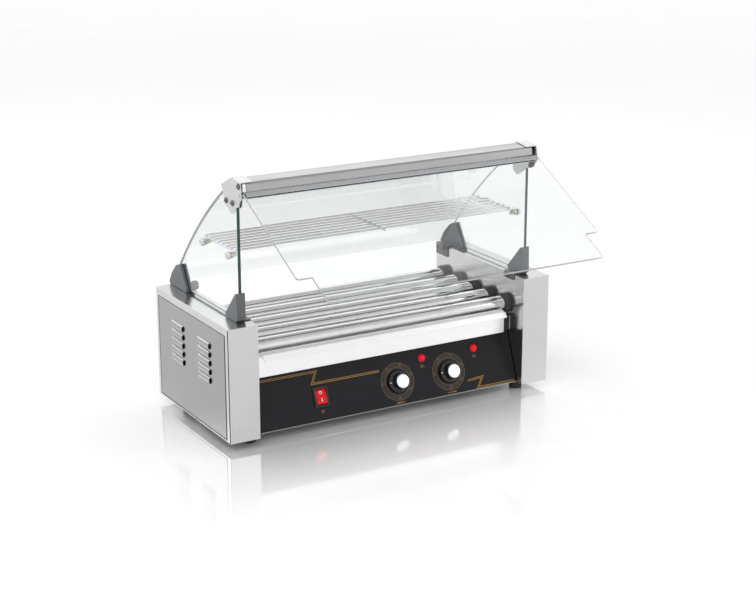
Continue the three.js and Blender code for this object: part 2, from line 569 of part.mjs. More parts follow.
// The sheet is notched at its lower corners to drop between the housings.
function flapSheet() {
  const top = -5.5;
  const corner = 4;
  const shape = new THREE.Shape();
  shape.moveTo(FLAP.half, top);
  shape.lineTo(-FLAP.half, top);
  shape.absarc(-FLAP.half + corner, -FLAP.wideLength + corner, corner, Math.PI, 1.5 * Math.PI);
  shape.lineTo(-FLAP.tongueHalf, -FLAP.wideLength);
  shape.absarc(-FLAP.tongueHalf + corner, -FLAP.length + corner, corner, Math.PI, 1.5 * Math.PI);
  shape.absarc(FLAP.tongueHalf - corner, -FLAP.length + corner, corner, 1.5 * Math.PI, 2 * Math.PI);
  shape.lineTo(FLAP.tongueHalf, -FLAP.wideLength);
  shape.absarc(FLAP.half - corner, -FLAP.wideLength + corner, corner, 1.5 * Math.PI, 2 * Math.PI);
  return alongY(shape, -FLAP.offset - FLAP.thickness / 2, -FLAP.offset + FLAP.thickness / 2, 4);
}
addPart('flap_sheet', flapSheet(), ACRYLIC, flapGroup);

// ---------- bun rack on four pins through the glasses ----------
const RACK = { half: 251, front: 46, rear: 150, wires: 8, wireRadius: 1.6, crossRadius: 1.8, z: 299.3 };
const RACK_CROSS_XS = [-249, 4, 249];
const CROSS_Z = RACK.z - RACK.wireRadius - RACK.crossRadius + 0.4;
const RACK_PIN = { radius: 2.8, capRadius: 6, z: CROSS_Z - RACK.crossRadius - 2.8 - GAP };
const RACK_PIN_YS = [52, 142];

function bunRack() {
  const spacing = (RACK.rear - RACK.front) / (RACK.wires - 1);
  const wires = Array.from({ length: RACK.wires }, (_, index) =>
    barX(RACK.wireRadius, -RACK.half, RACK.half, RACK.front + index * spacing, RACK.z, 8));
  const crossbars = RACK_CROSS_XS.map((x) =>
    barY(RACK.crossRadius, RACK.front - 3, RACK.rear + 3, x, CROSS_Z, 8));
  return joined(...wires, ...crossbars);
}
addPart('bun_rack', bunRack(), CHROME);

// Pin: a shaft through the glass, a cap outside, and a washer inside that the rack rests beside.
const rackPinProfile = [[0, 245.5], [RACK_PIN.radius, 245.5], [RACK_PIN.radius, 252.6],
  [5, 252.6], [5, GLASS_X.inner - GAP], [RACK_PIN.radius, GLASS_X.inner - GAP],
  [RACK_PIN.radius, GLASS_X.outer + GAP], [RACK_PIN.capRadius, GLASS_X.outer + GAP],
  [RACK_PIN.capRadius, GLASS_X.outer + 4], [4.4, GLASS_X.outer + 6.4], [0, GLASS_X.outer + 6.8]];
['front', 'rear'].forEach((place, index) => {
  const pin = ontoX(turned(rackPinProfile, 12)).translate(0, RACK_PIN_YS[index], RACK_PIN.z);
  addPair(`rack_pin_${place}`, pin, CHROME);
});
addPair('side_glass', sideGlass(), GLASS);

// ---------- glass clamps on the housings ----------
// Each clamp is a narrow block that holds a glass in its slot, and a strap over the housing's edge
// ends in a tab on the inner wall. The blocks are drawn by their side outlines.
const CLAMP = { inner: 250, outer: 264.5, bottom: BODY_TOP + GAP };
const CLAMP_TAB = { outer: INNER_X - GAP, inner: INNER_X - GAP - WALL };
const glassSlot = box(GLASS_X.inner - GAP, GLASS_X.outer + GAP, GLASS_FRONT - GAP, 300,
  GLASS_BOTTOM - GAP, 300);

function clamp(side, tabFront, tabRear, tabBottom) {
  const block = alongX(outline(side), CLAMP.inner, CLAMP.outer);
  const strap = box(CLAMP_TAB.inner, CLAMP.inner + 1, tabFront, tabRear, CLAMP.bottom,
    CLAMP.bottom + WALL);
  const tab = box(CLAMP_TAB.inner, CLAMP_TAB.outer, tabFront, tabRear, tabBottom, CLAMP.bottom + 1);
  return cut(joined(block, strap, tab), glassSlot);
}

const frontClampSide = [[27, CLAMP.bottom], [59, CLAMP.bottom], [64, 198.5], [27.5, 238], [22.5, 239],
  [21.5, 197.6]];
addPair('front_clamp', clamp(frontClampSide, 28, 56, 185), CLAMP_GREY);

// The rear clamps also take the ends of the screen.
const rearClampSide = [[206, CLAMP.bottom], [268, CLAMP.bottom], [270.5, 198], [260, 214],
  [242, 231], [226, 236], [204, 199]];
function rearClamp() {
  const screenSlot = new THREE.Shape();
  const [slotInner, slotOuter] = [ARC_RADIUS - 0.1, ARC_RADIUS + SCREEN.thickness + 2 * GAP];
  screenSlot.absarc(ARC_CENTRE.x, ARC_CENTRE.y, slotOuter,
    arcAngleAtZ(slotOuter, SCREEN.bottomZ - GAP), arcAngleAtY(slotOuter, 150));
  screenSlot.absarc(ARC_CENTRE.x, ARC_CENTRE.y, slotInner,
    arcAngleAtY(slotInner, 150), arcAngleAtZ(slotInner, SCREEN.bottomZ - GAP), true);
  return cut(clamp(rearClampSide, 228, 265, 175), alongX(screenSlot, 230, SCREEN.half + GAP, 20));
}
addPair('rear_clamp', rearClamp(), CLAMP_GREY);

// ---------- feet ----------
const FOOT = { radius: 11, x: 247, ys: [27, DEPTH - 20] };
const footProfile = [[0, 0], [FOOT.radius - 1.5, 0], [FOOT.radius, 2], [FOOT.radius - 0.8, FOOT_HEIGHT],
  [0, FOOT_HEIGHT]];
['front', 'rear'].forEach((place, index) => {
  for (const [side, x] of [['right', FOOT.x], ['left', -FOOT.x]]) {
    addPart(`foot_${place}_${side}`, ontoZ(turned(footProfile, 18)), RUBBER)
      .position.set(x, FOOT.ys[index], 0);
  }
});

// ---------- origin: middle of the outer box, on the ground ----------
const grill = new THREE.Group();
grill.add(machine);
grill.updateMatrixWorld(true);
const outerBox = new THREE.Box3().setFromObject(grill, true);
machine.position.set(0, -(outerBox.min.y + outerBox.max.y) / 2, 0);

export default grill;
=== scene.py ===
"""The looks of the hot dog roller grill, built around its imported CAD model.

Lengths are in metres in the part's frame; MM turns millimetres into metres.
Every place is worked out from the CAD nodes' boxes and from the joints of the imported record.
"""

import json
import math

import bmesh
import bpy
from mathutils import Matrix, Vector


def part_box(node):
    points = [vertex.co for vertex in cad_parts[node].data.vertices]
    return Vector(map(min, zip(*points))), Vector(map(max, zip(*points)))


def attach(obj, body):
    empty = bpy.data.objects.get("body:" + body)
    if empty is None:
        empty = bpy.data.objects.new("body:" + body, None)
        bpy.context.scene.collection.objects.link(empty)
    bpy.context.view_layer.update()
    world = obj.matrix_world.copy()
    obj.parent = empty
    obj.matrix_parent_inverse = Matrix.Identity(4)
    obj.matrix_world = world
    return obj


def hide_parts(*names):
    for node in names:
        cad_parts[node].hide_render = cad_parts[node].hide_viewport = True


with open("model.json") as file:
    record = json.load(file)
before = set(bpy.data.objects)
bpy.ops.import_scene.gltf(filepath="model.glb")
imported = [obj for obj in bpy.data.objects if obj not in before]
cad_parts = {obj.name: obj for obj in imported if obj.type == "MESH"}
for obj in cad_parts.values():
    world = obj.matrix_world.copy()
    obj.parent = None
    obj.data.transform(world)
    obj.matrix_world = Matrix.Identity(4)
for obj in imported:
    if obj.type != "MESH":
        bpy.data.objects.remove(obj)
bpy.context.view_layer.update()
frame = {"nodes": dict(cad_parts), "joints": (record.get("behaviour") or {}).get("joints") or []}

MM = 0.001
NODES = frame["nodes"]
JOINTS = {joint["name"]: joint for joint in frame["joints"]}
SIDES = {"left": -1, "right": 1}

X = Vector((1, 0, 0))
Y = Vector((0, 1, 0))
Z = Vector((0, 0, 1))


# ---------- camera ----------
CAMERA_AIM = Vector((0.0032, 0.0334, 0.1699))
CAMERA_AZIMUTH = math.radians(-30.39)
CAMERA_ELEVATION = math.radians(17.07)
CAMERA_DISTANCE = 2.75
CAMERA_LENS = 82.41


def add_camera():
    """The photograph's view, given as an aim, two angles and a distance."""
    data = bpy.data.cameras.new("camera")
    data.lens = CAMERA_LENS
    data.sensor_width = 36
    camera = bpy.data.objects.new("camera", data)
    bpy.context.scene.collection.objects.link(camera)
    flat = math.cos(CAMERA_ELEVATION)
    away = Vector((math.sin(CAMERA_AZIMUTH) * flat, -math.cos(CAMERA_AZIMUTH) * flat,
                   math.sin(CAMERA_ELEVATION)))
    camera.location = CAMERA_AIM + away * CAMERA_DISTANCE
    camera.rotation_mode = "QUATERNION"
    camera.rotation_quaternion = (-away).to_track_quat("-Z", "Y")
    bpy.context.scene.camera = camera


add_camera()


# ---------- material helpers ----------
class Shading:
    """A new node material with its Principled shader, and short ways to add nodes to it."""

    def __init__(self, name):
        self.material = bpy.data.materials.new(name)
        self.material.use_nodes = True
        self.tree = self.material.node_tree
        self.shader = self.tree.nodes["Principled BSDF"]
        self.output = self.tree.nodes["Material Output"]

    def node(self, kind, inputs=None, **settings):
        item = self.tree.nodes.new("ShaderNode" + kind)
        for name, value in settings.items():
            setattr(item, name, value)
        for key, value in (inputs or {}).items():
            self.put(item.inputs[key], value)
        return item

    def put(self, socket, value):
        if isinstance(value, bpy.types.NodeSocket):
            self.tree.links.new(value, socket)
        else:
            socket.default_value = value

    def set(self, **values):
        """Puts values on the Principled shader: set(Base_Color=..., Roughness=...)."""
        for name, value in values.items():
            self.put(self.shader.inputs[name.replace("_", " ")], value)

    def coordinates(self, scale=(1, 1, 1)):
        place = self.node("TexCoord").outputs["Object"]
        return self.node("Mapping", {"Vector": place, "Scale": scale}).outputs["Vector"]

    def noise(self, scale, stretch=(1, 1, 1), detail=3.0, rough=0.55):
        stretched = tuple(scale * part for part in stretch)
        return self.node("TexNoise", {"Vector": self.coordinates(stretched), "Scale": 1.0,
                                      "Detail": detail, "Roughness": rough}).outputs["Fac"]

    def ramp(self, value, low, high, start=0.3, end=0.7):
        """The value spread from low to high between two places of the input."""
        return self.node("MapRange", {"Value": value, "From Min": start, "From Max": end,
                                      "To Min": low, "To Max": high}).outputs["Result"]

    def blend(self, factor, first, second):
        """A colour between two colours."""
        item = self.node("Mix", data_type="RGBA")
        self.put(item.inputs["Factor"], factor)
        self.put(item.inputs[6], first)
        self.put(item.inputs[7], second)
        return item.outputs[2]

    def math(self, operation, first, second=0.0):
        return self.node("Math", {0: first, 1: second}, operation=operation).outputs[0]

    def bump(self, height, strength, distance=0.0002):
        item = self.node("Bump", {"Height": height, "Strength": strength, "Distance": distance})
        self.set(Normal=item.outputs["Normal"])


def grey(value, alpha=1.0):
    return (value, value, value, alpha)


def shade(colour, factor):
    """The colour with its three channels multiplied."""
    return (colour[0] * factor, colour[1] * factor, colour[2] * factor, 1.0)


STRETCH = {"x": (0.012, 1, 1), "y": (1, 0.012, 1), "z": (1, 1, 0.012)}


def brushed_metal(name, colour, roughness, grain="y", end_grain="z", lines=0.035, smudges=0.03,
                  bump=0.03):
    """Sheet metal brushed along one axis; faces across that axis are brushed along the other."""
    s = Shading(name)
    along = s.noise(2400, STRETCH[grain], 4.0, 0.6)
    across = s.noise(2400, STRETCH[end_grain], 4.0, 0.6)
    normal = s.node("SeparateXYZ", {0: s.node("TexCoord").outputs["Normal"]})
    facing = s.math("ABSOLUTE", normal.outputs["XYZ".index(grain.upper())])
    is_end = s.math("GREATER_THAN", facing, 0.7)
    brushing = s.node("Mix", {"Factor": is_end, 2: along, 3: across}, data_type="FLOAT").outputs[0]
    cloud = s.noise(9, detail=5.0)
    handling = s.noise(38, detail=6.0, rough=0.65)
    tone = s.math("ADD", s.ramp(brushing, 1 - lines, 1 + lines), s.ramp(cloud, -0.03, 0.03))
    s.set(Base_Color=s.blend(s.ramp(tone, 0, 1, 0.88, 1.12), shade(colour, 0.88), shade(colour, 1.12)),
          Metallic=1.0,
          Roughness=s.math("ADD", s.ramp(handling, roughness - smudges, roughness + smudges),
                           s.ramp(brushing, -0.03, 0.03)))
    s.bump(brushing, bump, 0.00005)
    return s.material


def polished_metal(name, colour, roughness, grain="x", wear=0.08):
    """Chromed or polished metal with faint draw lines and dull, handled patches."""
    s = Shading(name)
    lines = s.noise(900, STRETCH[grain], 3.0)
    patches = s.noise(24, detail=7.0, rough=0.7)
    spots = s.noise(160, detail=4.0)
    dull = s.math("MULTIPLY", s.ramp(patches, 0, 1, 0.45, 0.75), s.ramp(spots, 0.4, 1))
    s.set(Base_Color=s.blend(dull, shade(colour, 1.0), shade(colour, 0.86)), Metallic=1.0,
          Roughness=s.math("ADD", s.ramp(lines, roughness * 0.7, roughness * 1.4),
                           s.math("MULTIPLY", dull, wear)))
    s.bump(lines, 0.04, 0.00004)
    return s.material


def moulded_plastic(name, colour, roughness, grain=2600, bump=0.25, wear=1.6):
    """Moulded plastic with a fine spark-eroded texture, and lighter where hands rub it."""
    s = Shading(name)
    texture = s.noise(grain, detail=2.0)
    rubbing = s.noise(45, detail=6.0, rough=0.6)
    s.set(Base_Color=s.blend(s.ramp(rubbing, 0, 1, 0.4, 0.8), shade(colour, 1.0), shade(colour, wear)),
          Roughness=s.math("ADD", s.ramp(rubbing, roughness - 0.06, roughness + 0.1),
                           s.ramp(texture, -0.04, 0.04)))
    s.bump(texture, bump, 0.00006)
    return s.material


def glossy_paint(name, colour, roughness, dust=0.35):
    """Gloss paint or printed foil: a slow waviness, a little dust and fine wipe marks."""
    s = Shading(name)
    wave = s.noise(70, detail=2.0)
    specks = s.noise(1400, detail=1.0)
    wipes = s.noise(420, (0.05, 1, 1), 4.0)
    dusty = s.math("MULTIPLY", s.ramp(specks, 0, 1, 0.66, 0.74), dust)
    s.set(Base_Color=s.blend(dusty, shade(colour, 1.0), shade(colour, 4.0)),
          Roughness=s.math("ADD", s.ramp(wipes, roughness - 0.05, roughness + 0.08), dusty),
          Specular_IOR_Level=0.16)
    s.bump(wave, 0.05, 0.0003)
    return s.material


def glowing_lens(name, colour, glow):
    """A moulded red lens lit from behind, its tint and glow varying in soft patches, with moulding lines
    inside.
    """
    s = Shading(name)
    cells = s.node("TexVoronoi", {"Vector": s.coordinates(), "Scale": 900.0}).outputs["Distance"]
    depth = s.noise(120, detail=3.0)
    tint = s.blend(s.ramp(depth, 0, 1), shade(colour, 0.75), shade(colour, 1.15))
    s.set(Base_Color=tint, Roughness=s.ramp(depth, 0.1, 0.22), Emission_Color=tint,
          Emission_Strength=glow, Specular_IOR_Level=0.2, Coat_Weight=0.25, Coat_Roughness=0.05)
    s.bump(cells, 0.12, 0.0002)
    return s.material


def clear_sheet(name, tint, roughness, ior=1.49):
    """Clear glass or acrylic. Light passes straight through it for shadows."""
    s = Shading(name)
    smears = s.noise(14, (1, 1, 0.4), 5.0, 0.65)
    s.set(Base_Color=s.blend(s.ramp(smears, 0, 1), shade(tint, 1.0), shade(tint, 0.985)),
          Roughness=s.ramp(smears, roughness, roughness + 0.02), IOR=ior, Transmission_Weight=1.0)
    straight = s.node("BsdfTransparent", {"Color": (*tint[:3], 1.0)})
    path = s.node("LightPath")
    either = s.node("MixShader", {0: path.outputs["Is Shadow Ray"], 1: s.shader.outputs[0],
                                  2: straight.outputs[0]})
    s.put(s.output.inputs["Surface"], either.outputs[0])
    return s.material


def sheet_edge(name, colour, roughness, transmission):
    """The ground and polished edge of a clear sheet, where its tint gathers."""
    s = Shading(name)
    grind = s.noise(700, detail=4.0)
    s.set(Base_Color=s.blend(s.ramp(grind, 0, 1), shade(colour, 0.8), shade(colour, 1.25)),
          Roughness=s.ramp(grind, roughness, roughness + 0.15), IOR=1.5,
          Transmission_Weight=transmission)
    s.bump(grind, 0.1, 0.0001)
    return s.material


def printed_ink(name, colour, roughness=0.4):
    """Screen-printed ink with a slightly uneven cover."""
    s = Shading(name)
    cover = s.noise(900, detail=3.0)
    s.set(Base_Color=s.blend(s.ramp(cover, 0, 1), shade(colour, 0.75), shade(colour, 1.15)),
          Roughness=s.ramp(cover, roughness - 0.05, roughness + 0.1), Specular_IOR_Level=0.2)
    s.bump(cover, 0.05, 0.00003)
    return s.material


# ---------- materials ----------
STEEL = brushed_metal("steel_housing", grey(0.6), 0.22, "y", "z")
# Painted shade: the side covers' steel is darker (0.34) than the housing's (0.6), standing in for the shade
# that falls on the covers.
STEEL_COVER_PAINTED_SHADE = brushed_metal("steel_cover_painted_shade", grey(0.34), 0.22, "y", "z", 0.04)
STEEL_BAR = brushed_metal("steel_bar", grey(0.36), 0.24, "x", "z")
STEEL_BRACKET = brushed_metal("steel_bracket", grey(0.6), 0.34, "z", "y", 0.04)
# Painted light: the tray's steel is lightened to near white (0.92) to stand in for light on its front lip,
# which lies in shade under the rollers.
STEEL_TRAY_PAINTED_LIGHT = brushed_metal("steel_tray_painted_light", grey(0.92), 0.3, "x", "z", 0.015, 0.02, 0.012)
STEEL_BACK = brushed_metal("steel_back", grey(0.5), 0.3, "x", "z")
ALUMINIUM = brushed_metal("aluminium_rail", (0.5, 0.51, 0.525), 0.26, "x", "z", 0.04)
GALVANISED = brushed_metal("galvanised", (0.36, 0.38, 0.4), 0.42, "y", "z", 0.12, 0.1, 0.08)
CHROME = polished_metal("chrome", grey(0.66), 0.07)
CHROME_WIRE = polished_metal("chrome_wire", grey(0.6), 0.12, "y", 0.12)
SCREW_STEEL = polished_metal("screw_steel", grey(0.16), 0.14)
CAP_METAL = brushed_metal("knob_cap", grey(0.97), 0.2, "z", "x", 0.02, 0.02, 0.02)
PANEL_BLACK = glossy_paint("panel_black", (0.011, 0.011, 0.013), 0.16, 0.2)
BLACK_PLASTIC = moulded_plastic("black_plastic", (0.007, 0.007, 0.008), 0.34)
COLLAR_PLASTIC = moulded_plastic("collar_plastic", (0.03, 0.031, 0.035), 0.38)
CLAMP_PLASTIC = moulded_plastic("clamp_plastic", (0.095, 0.1, 0.108), 0.36, 1800, 0.3, 1.25)
CERAMIC = moulded_plastic("thermostat_ceramic", (0.7, 0.66, 0.56), 0.6, 1500, 0.3, 1.1)
RUBBER = moulded_plastic("rubber", (0.012, 0.012, 0.012), 0.7, 1200, 0.5, 1.5)
SLEEVE = moulded_plastic("sleeve_plastic", (0.62, 0.6, 0.36), 0.35, 1500, 0.1, 1.1)
# Painted shade, near black: it stands in for the shadow in the housings' front folds, in the gap round the
# side covers and in the screws' cross recesses.
PAINTED_SHADE = moulded_plastic("seam_shadow", (0.006, 0.006, 0.006), 0.6, 1500, 0.1, 1.5)
RED_LENS = glowing_lens("red_lens", (0.6, 0.001, 0.006), 0.35)
RED_ROCKER = glowing_lens("red_rocker", (0.5, 0.001, 0.003), 0.25)
WHITE_MARK = printed_ink("white_mark", (0.9, 0.85, 0.83))
GOLD_INK = printed_ink("gold_ink", (0.42, 0.23, 0.055))
RING_INK = printed_ink("ring_ink", (0.2, 0.14, 0.09))
BAND_INK = printed_ink("band_ink", (0.038, 0.03, 0.025))
GLASS = clear_sheet("glass", (0.955, 0.985, 0.98), 0.0, 1.5)
GLASS_EDGE = sheet_edge("glass_edge", (0.012, 0.062, 0.056), 0.12, 0.2)
ACRYLIC = clear_sheet("acrylic", (0.975, 0.985, 0.985), 0.0)
ACRYLIC_EDGE = sheet_edge("acrylic_edge", (0.75, 0.78, 0.78), 0.25, 0.5)
SCREEN_EDGE = sheet_edge("screen_edge", (0.3, 0.34, 0.35), 0.15, 0.25)


# ---------- shape helpers ----------
def rounded(points, radius, steps=5, closed=True):
    """An outline with its corners rounded. The radius is one number, or one for each corner."""
    count = len(points)
    radii = radius if isinstance(radius, (list, tuple)) else [radius] * count
    result = []
    for index, (corner, size) in enumerate(zip(points, radii)):
        at_end = not closed and index in (0, count - 1)
        if size <= 0 or at_end:
            result.append(tuple(corner))
            continue
        here = Vector(corner)
        before = Vector(points[index - 1]) - here
        after = Vector(points[(index + 1) % count]) - here
        bend = math.pi - before.angle(after)
        reach = min(size * math.tan(bend / 2), before.length * 0.48, after.length * 0.48)
        start = here + before.normalized() * reach
        end = here + after.normalized() * reach
        for step in range(steps + 1):
            t = step / steps
            point = start * (1 - t) ** 2 + here * (2 * t * (1 - t)) + end * t ** 2
            result.append(tuple(point))
    return result


def in_mm(points, corner=0, steps=5, closed=True):
    """An outline given in millimetres, as (x, y) or (x, y, corner radius), with its corners rounded."""
    places = [(point[0] * MM, point[1] * MM) for point in points]
    radii = [(point[2] if len(point) > 2 else corner) * MM for point in points]
    return rounded(places, radii, steps, closed)


def rectangle(left, right, foot, head):
    """The outline of a rectangle, from its two sides, its foot and its head."""
    return [(left, foot), (right, foot), (right, head), (left, head)]


def dome(radius, base, rise, steps):
    """The profile of a dome, up to just short of its top."""
    angles = [math.pi / 2 * step / steps for step in range(steps)]
    return [(radius * math.cos(angle), base + rise * math.sin(angle)) for angle in angles]


def wave(count, angle):
    """Goes from 0 to 1 and back again, count times round a full turn."""
    return 0.5 - 0.5 * math.cos(count * angle)


def circle(radius, sides, centre=(0, 0)):
    return [(centre[0] + radius * math.cos(2 * math.pi * i / sides),
             centre[1] + radius * math.sin(2 * math.pi * i / sides)) for i in range(sides)]


def round_hole(outline, radius):
    """A circle with one point for each point of the outline round it."""
    return [Vector(point).normalized() * radius for point in outline]


def shifted(points, distance, closed=False):
    """The path moved sideways by a distance, to its left when it is positive."""
    result = []
    count = len(points)
    for index, point in enumerate(points):
        here = Vector(point)
        ways = []
        if closed or index > 0:
            ways.append((here - Vector(points[index - 1])).normalized())
        if closed or index < count - 1:
            ways.append((Vector(points[(index + 1) % count]) - here).normalized())
        lefts = [Vector((-way.y, way.x)) for way in ways]
        middle = sum(lefts, Vector((0, 0))).normalized()
        result.append(tuple(here + middle * (distance / middle.dot(lefts[0]))))
    return result


def folded(points, thickness, radius):
    """The section of a sheet folded along a path, with round bends."""
    path = rounded(points, radius, 5, closed=False)
    return path + shifted(path, thickness)[::-1]


def axes(origin, x, y):
    """The matrix of a local frame from its origin and two of its axes."""
    x, y = Vector(x).normalized(), Vector(y).normalized()
    z = x.cross(y)
    turn = Matrix((x, y, z)).transposed().to_4x4()
    return Matrix.Translation(Vector(origin)) @ turn


class Piece:
    """Gathers the solids of one visible piece, then turns them into an object."""

    def __init__(self, name, *materials):
        self.name = name
        self.materials = materials
        self.shape = bmesh.new()

    def faces(self, points, faces, material=0):
        corners = [self.shape.verts.new(point) for point in points]
        for face in faces:
            if len(set(face)) < 3:
                continue
            self.shape.faces.new([corners[i] for i in face]).material_index = material

    def rings(self, rings, place, material=0, closed=False, caps=True):
        """Skins a row of rings, each with the same number of points [x, y, z]."""
        size = len(rings[0])
        points = [place @ Vector(point) for ring in rings for point in ring]
        faces = []
        spans = len(rings) if closed else len(rings) - 1
        for row in range(spans):
            a, b = row * size, ((row + 1) % len(rings)) * size
            faces += [(a + i, a + (i + 1) % size, b + (i + 1) % size, b + i) for i in range(size)]
        if caps and not closed:
            faces.append(tuple(range(size))[::-1])
            faces.append(tuple((len(rings) - 1) * size + i for i in range(size)))
        self.faces(points, faces, material)

    def prism(self, outline, place, low, high, material=0):
        """The outline, drawn in the local x and y, from one height to another."""
        self.rings([[(x, y, height) for x, y in outline] for height in (low, high)], place, material)

    def ring(self, outer, inner, place, low, high, material=0):
        """A flat ring between two outlines with the same number of points."""
        self.rings([[(x, y, low) for x, y in outer], [(x, y, high) for x, y in outer],
                    [(x, y, high) for x, y in inner], [(x, y, low) for x, y in inner]],
                   place, material, closed=True)

    def lathe(self, profile, place, sides=48, material=0, closed=False, flutes=None):
        """A profile of [radius, height] turned round the local z axis.
        flutes(angle, radius, height) gives another radius where a piece isn't round."""
        rings = []
        for radius, height in profile:
            ring = []
            for side in range(sides):
                angle = 2 * math.pi * side / sides
                size = flutes(angle, radius, height) if flutes else radius
                size = max(size, 1e-7)
                ring.append((size * math.cos(angle), size * math.sin(angle), height))
            rings.append(ring)
        self.rings(rings, place, material, closed=closed)

    def pane(self, outline, place, low, high, arris):
        """A clear sheet in its first material, with a ground edge and two arrises in its second."""
        inner = shifted(outline, arris, closed=True)
        steps = [(inner, low), (outline, low + arris), (outline, high - arris), (inner, high)]
        rings = [[(x, y, height) for x, y in path] for path, height in steps]
        size = len(outline)
        self.rings(rings, place, 1, caps=False)
        for ring, way in ((rings[0], -1), (rings[3], 1)):
            order = tuple(range(size))[::way]
            self.faces([place @ Vector(point) for point in ring], [order])

    def text(self, words, place, size, depth, material=0):
        """Raised figures, centred on the local origin."""
        curve = bpy.data.curves.new("figures", "FONT")
        curve.body = words
        curve.size = size
        curve.align_x = "CENTER"
        curve.align_y = "CENTER"
        curve.extrude = depth / 2
        curve.resolution_u = 2
        holder = bpy.data.objects.new("figures", curve)
        made = bpy.data.meshes.new_from_object(holder)
        made.transform(place @ Matrix.Translation((0, 0, depth / 2)))
        start = len(self.shape.faces)
        self.shape.from_mesh(made)
        self.shape.faces.ensure_lookup_table()
        for face in self.shape.faces[start:]:
            face.material_index = material
        bpy.data.objects.remove(holder)
        bpy.data.curves.remove(curve)
        bpy.data.meshes.remove(made)

    def finish(self, replaces=(), body="frame", bevel=0.0, sharp=32):
        """Makes the object, rides it on its body and hides the CAD nodes that it stands in for."""
        bmesh.ops.remove_doubles(self.shape, verts=self.shape.verts, dist=1e-6)
        bmesh.ops.dissolve_degenerate(self.shape, dist=1e-7, edges=self.shape.edges)
        bmesh.ops.recalc_face_normals(self.shape, faces=self.shape.faces)
        mesh = bpy.data.meshes.new(self.name)
        self.shape.to_mesh(mesh)
        self.shape.free()
        for material in self.materials:
            mesh.materials.append(material)
        mesh.polygons.foreach_set("use_smooth", [True] * len(mesh.polygons))
        mesh.set_sharp_from_angle(angle=math.radians(sharp))
        made = bpy.data.objects.new(self.name, mesh)
        bpy.context.scene.collection.objects.link(made)
        if bevel:
            add_bevel(made, bevel)
        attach(made, body)
        if replaces:
            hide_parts(*replaces)
        return made


def add_bevel(made, width):
    bevel = made.modifiers.new("edges", "BEVEL")
    bevel.width = width
    bevel.segments = 2
    bevel.limit_method = "ANGLE"
    bevel.angle_limit = math.radians(28)
    bevel.harden_normals = True


def dress(node, material, bevel=0.4 * MM):
    """Keeps a CAD node's shape, eases its edges and gives it its material."""
    made = NODES[node]
    made.data.materials.clear()
    made.data.materials.append(material)
    weld = made.modifiers.new("weld", "WELD")
    weld.merge_threshold = 1e-6
    flat = made.modifiers.new("flat_faces", "DECIMATE")
    flat.decimate_type = "DISSOLVE"
    flat.angle_limit = math.radians(0.6)
    if bevel:
        add_bevel(made, bevel)


# ---------- places read from the CAD ----------
housing_low, housing_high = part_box("housing_right")
FRONT = housing_low.y
REAR = housing_high.y
BODY_BOTTOM = housing_low.z
BODY_TOP = housing_high.z
OUTER_X = housing_high.x
INNER_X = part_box("base_and_back")[1].x + 0.3 * MM
cover_low, cover_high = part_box("side_cover_right")
ROLLER_COUNT = sum(name.startswith("roller_") for name in NODES)
panel_out = -Vector(JOINTS["knob_1_turn"]["axis"])
panel_up = Vector((0, -panel_out.z, panel_out.y)) * -1
panel_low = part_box("control_panel")[0]
PANEL_FOOT = Vector((0, panel_low.y, panel_low.z + 1.5 * MM * panel_out.z))
KNOB_UP = (Vector(JOINTS["knob_1_turn"]["pos_m"]) - PANEL_FOOT).dot(panel_up)


def middle_of(node):
    """The middle of a CAD node's box."""
    low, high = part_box(node)
    return (low + high) / 2


def x_span(node):
    """How far the nearer and the further end of a node on one side lie from the middle plane."""
    low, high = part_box(node)
    return sorted((abs(low.x), abs(high.x)))


def on_panel(x, up):
    """A local frame on the control panel: x across, y up the slope, z out of the panel."""
    return axes(PANEL_FOOT + X * x + panel_up * up, X, panel_up)


# ---------- side covers with pressed louvres ----------
LOUVRE_LENGTH = 44 * MM
LOUVRE_PITCH = 13.8 * MM
LOUVRE_ROWS = 5
LOUVRE_HALF = 5.2 * MM
LOUVRE_STAND = cover_high.x - OUTER_X
LOUVRE_TOP = 149 * MM
LOUVRE_FRONTS = (FRONT + 67 * MM, FRONT + 164 * MM)
LOUVRE_ROWS_Z = [LOUVRE_TOP - row * LOUVRE_PITCH for row in range(LOUVRE_ROWS)]
# Where a louvre's closed end starts, and the grid lines over it, as shares of its length and half height.
TAIL_START = 0.86
LINES_ALONG = (-0.012, 0, 0.012, 0.43, TAIL_START, 0.9, 0.94, 0.97, 0.99, 1, 1.012)
LINES_ACROSS = (-1.08, -1, -0.97, -0.88, -0.72, -0.5, -0.25, 0, 0.25, 0.5, 0.72, 0.88, 0.97, 1, 1.08)
# The gaps round the cover's sheet, and the narrow row of points that keeps its edge's shading off its face.
COVER_GAPS = {"front": 3.0 * MM, "rear": 2.2 * MM, "foot": 1.6 * MM, "head": 0.9 * MM}
COVER_RIM = 0.4 * MM
COVER_THICKNESS = 1.1 * MM


def cover_rectangle(share, inset):
    """A rectangle (y, z) inside the CAD cover's box: a share of the gaps, and an inset, from its sides."""
    return rectangle(cover_low.y + COVER_GAPS["front"] * share + inset,
                     cover_high.y - COVER_GAPS["rear"] * share - inset,
                     cover_low.z + COVER_GAPS["foot"] * share + inset,
                     cover_high.z - COVER_GAPS["head"] * share - inset)


def louvre_height(y, z):
    """How far the louvres stand out at a place on the cover."""
    for front in LOUVRE_FRONTS:
        for middle in LOUVRE_ROWS_Z:
            across = abs(z - middle) / LOUVRE_HALF
            along = (y - front) / LOUVRE_LENGTH
            if across < 1 and -1e-6 <= along < 1:
                arch = math.sqrt(1 - across ** 2.2)
                tail = 1 - max(0.0, (along - TAIL_START) / (1 - TAIL_START)) ** 2
                return LOUVRE_STAND * arch * math.sqrt(max(tail, 0.0))
    return 0.0


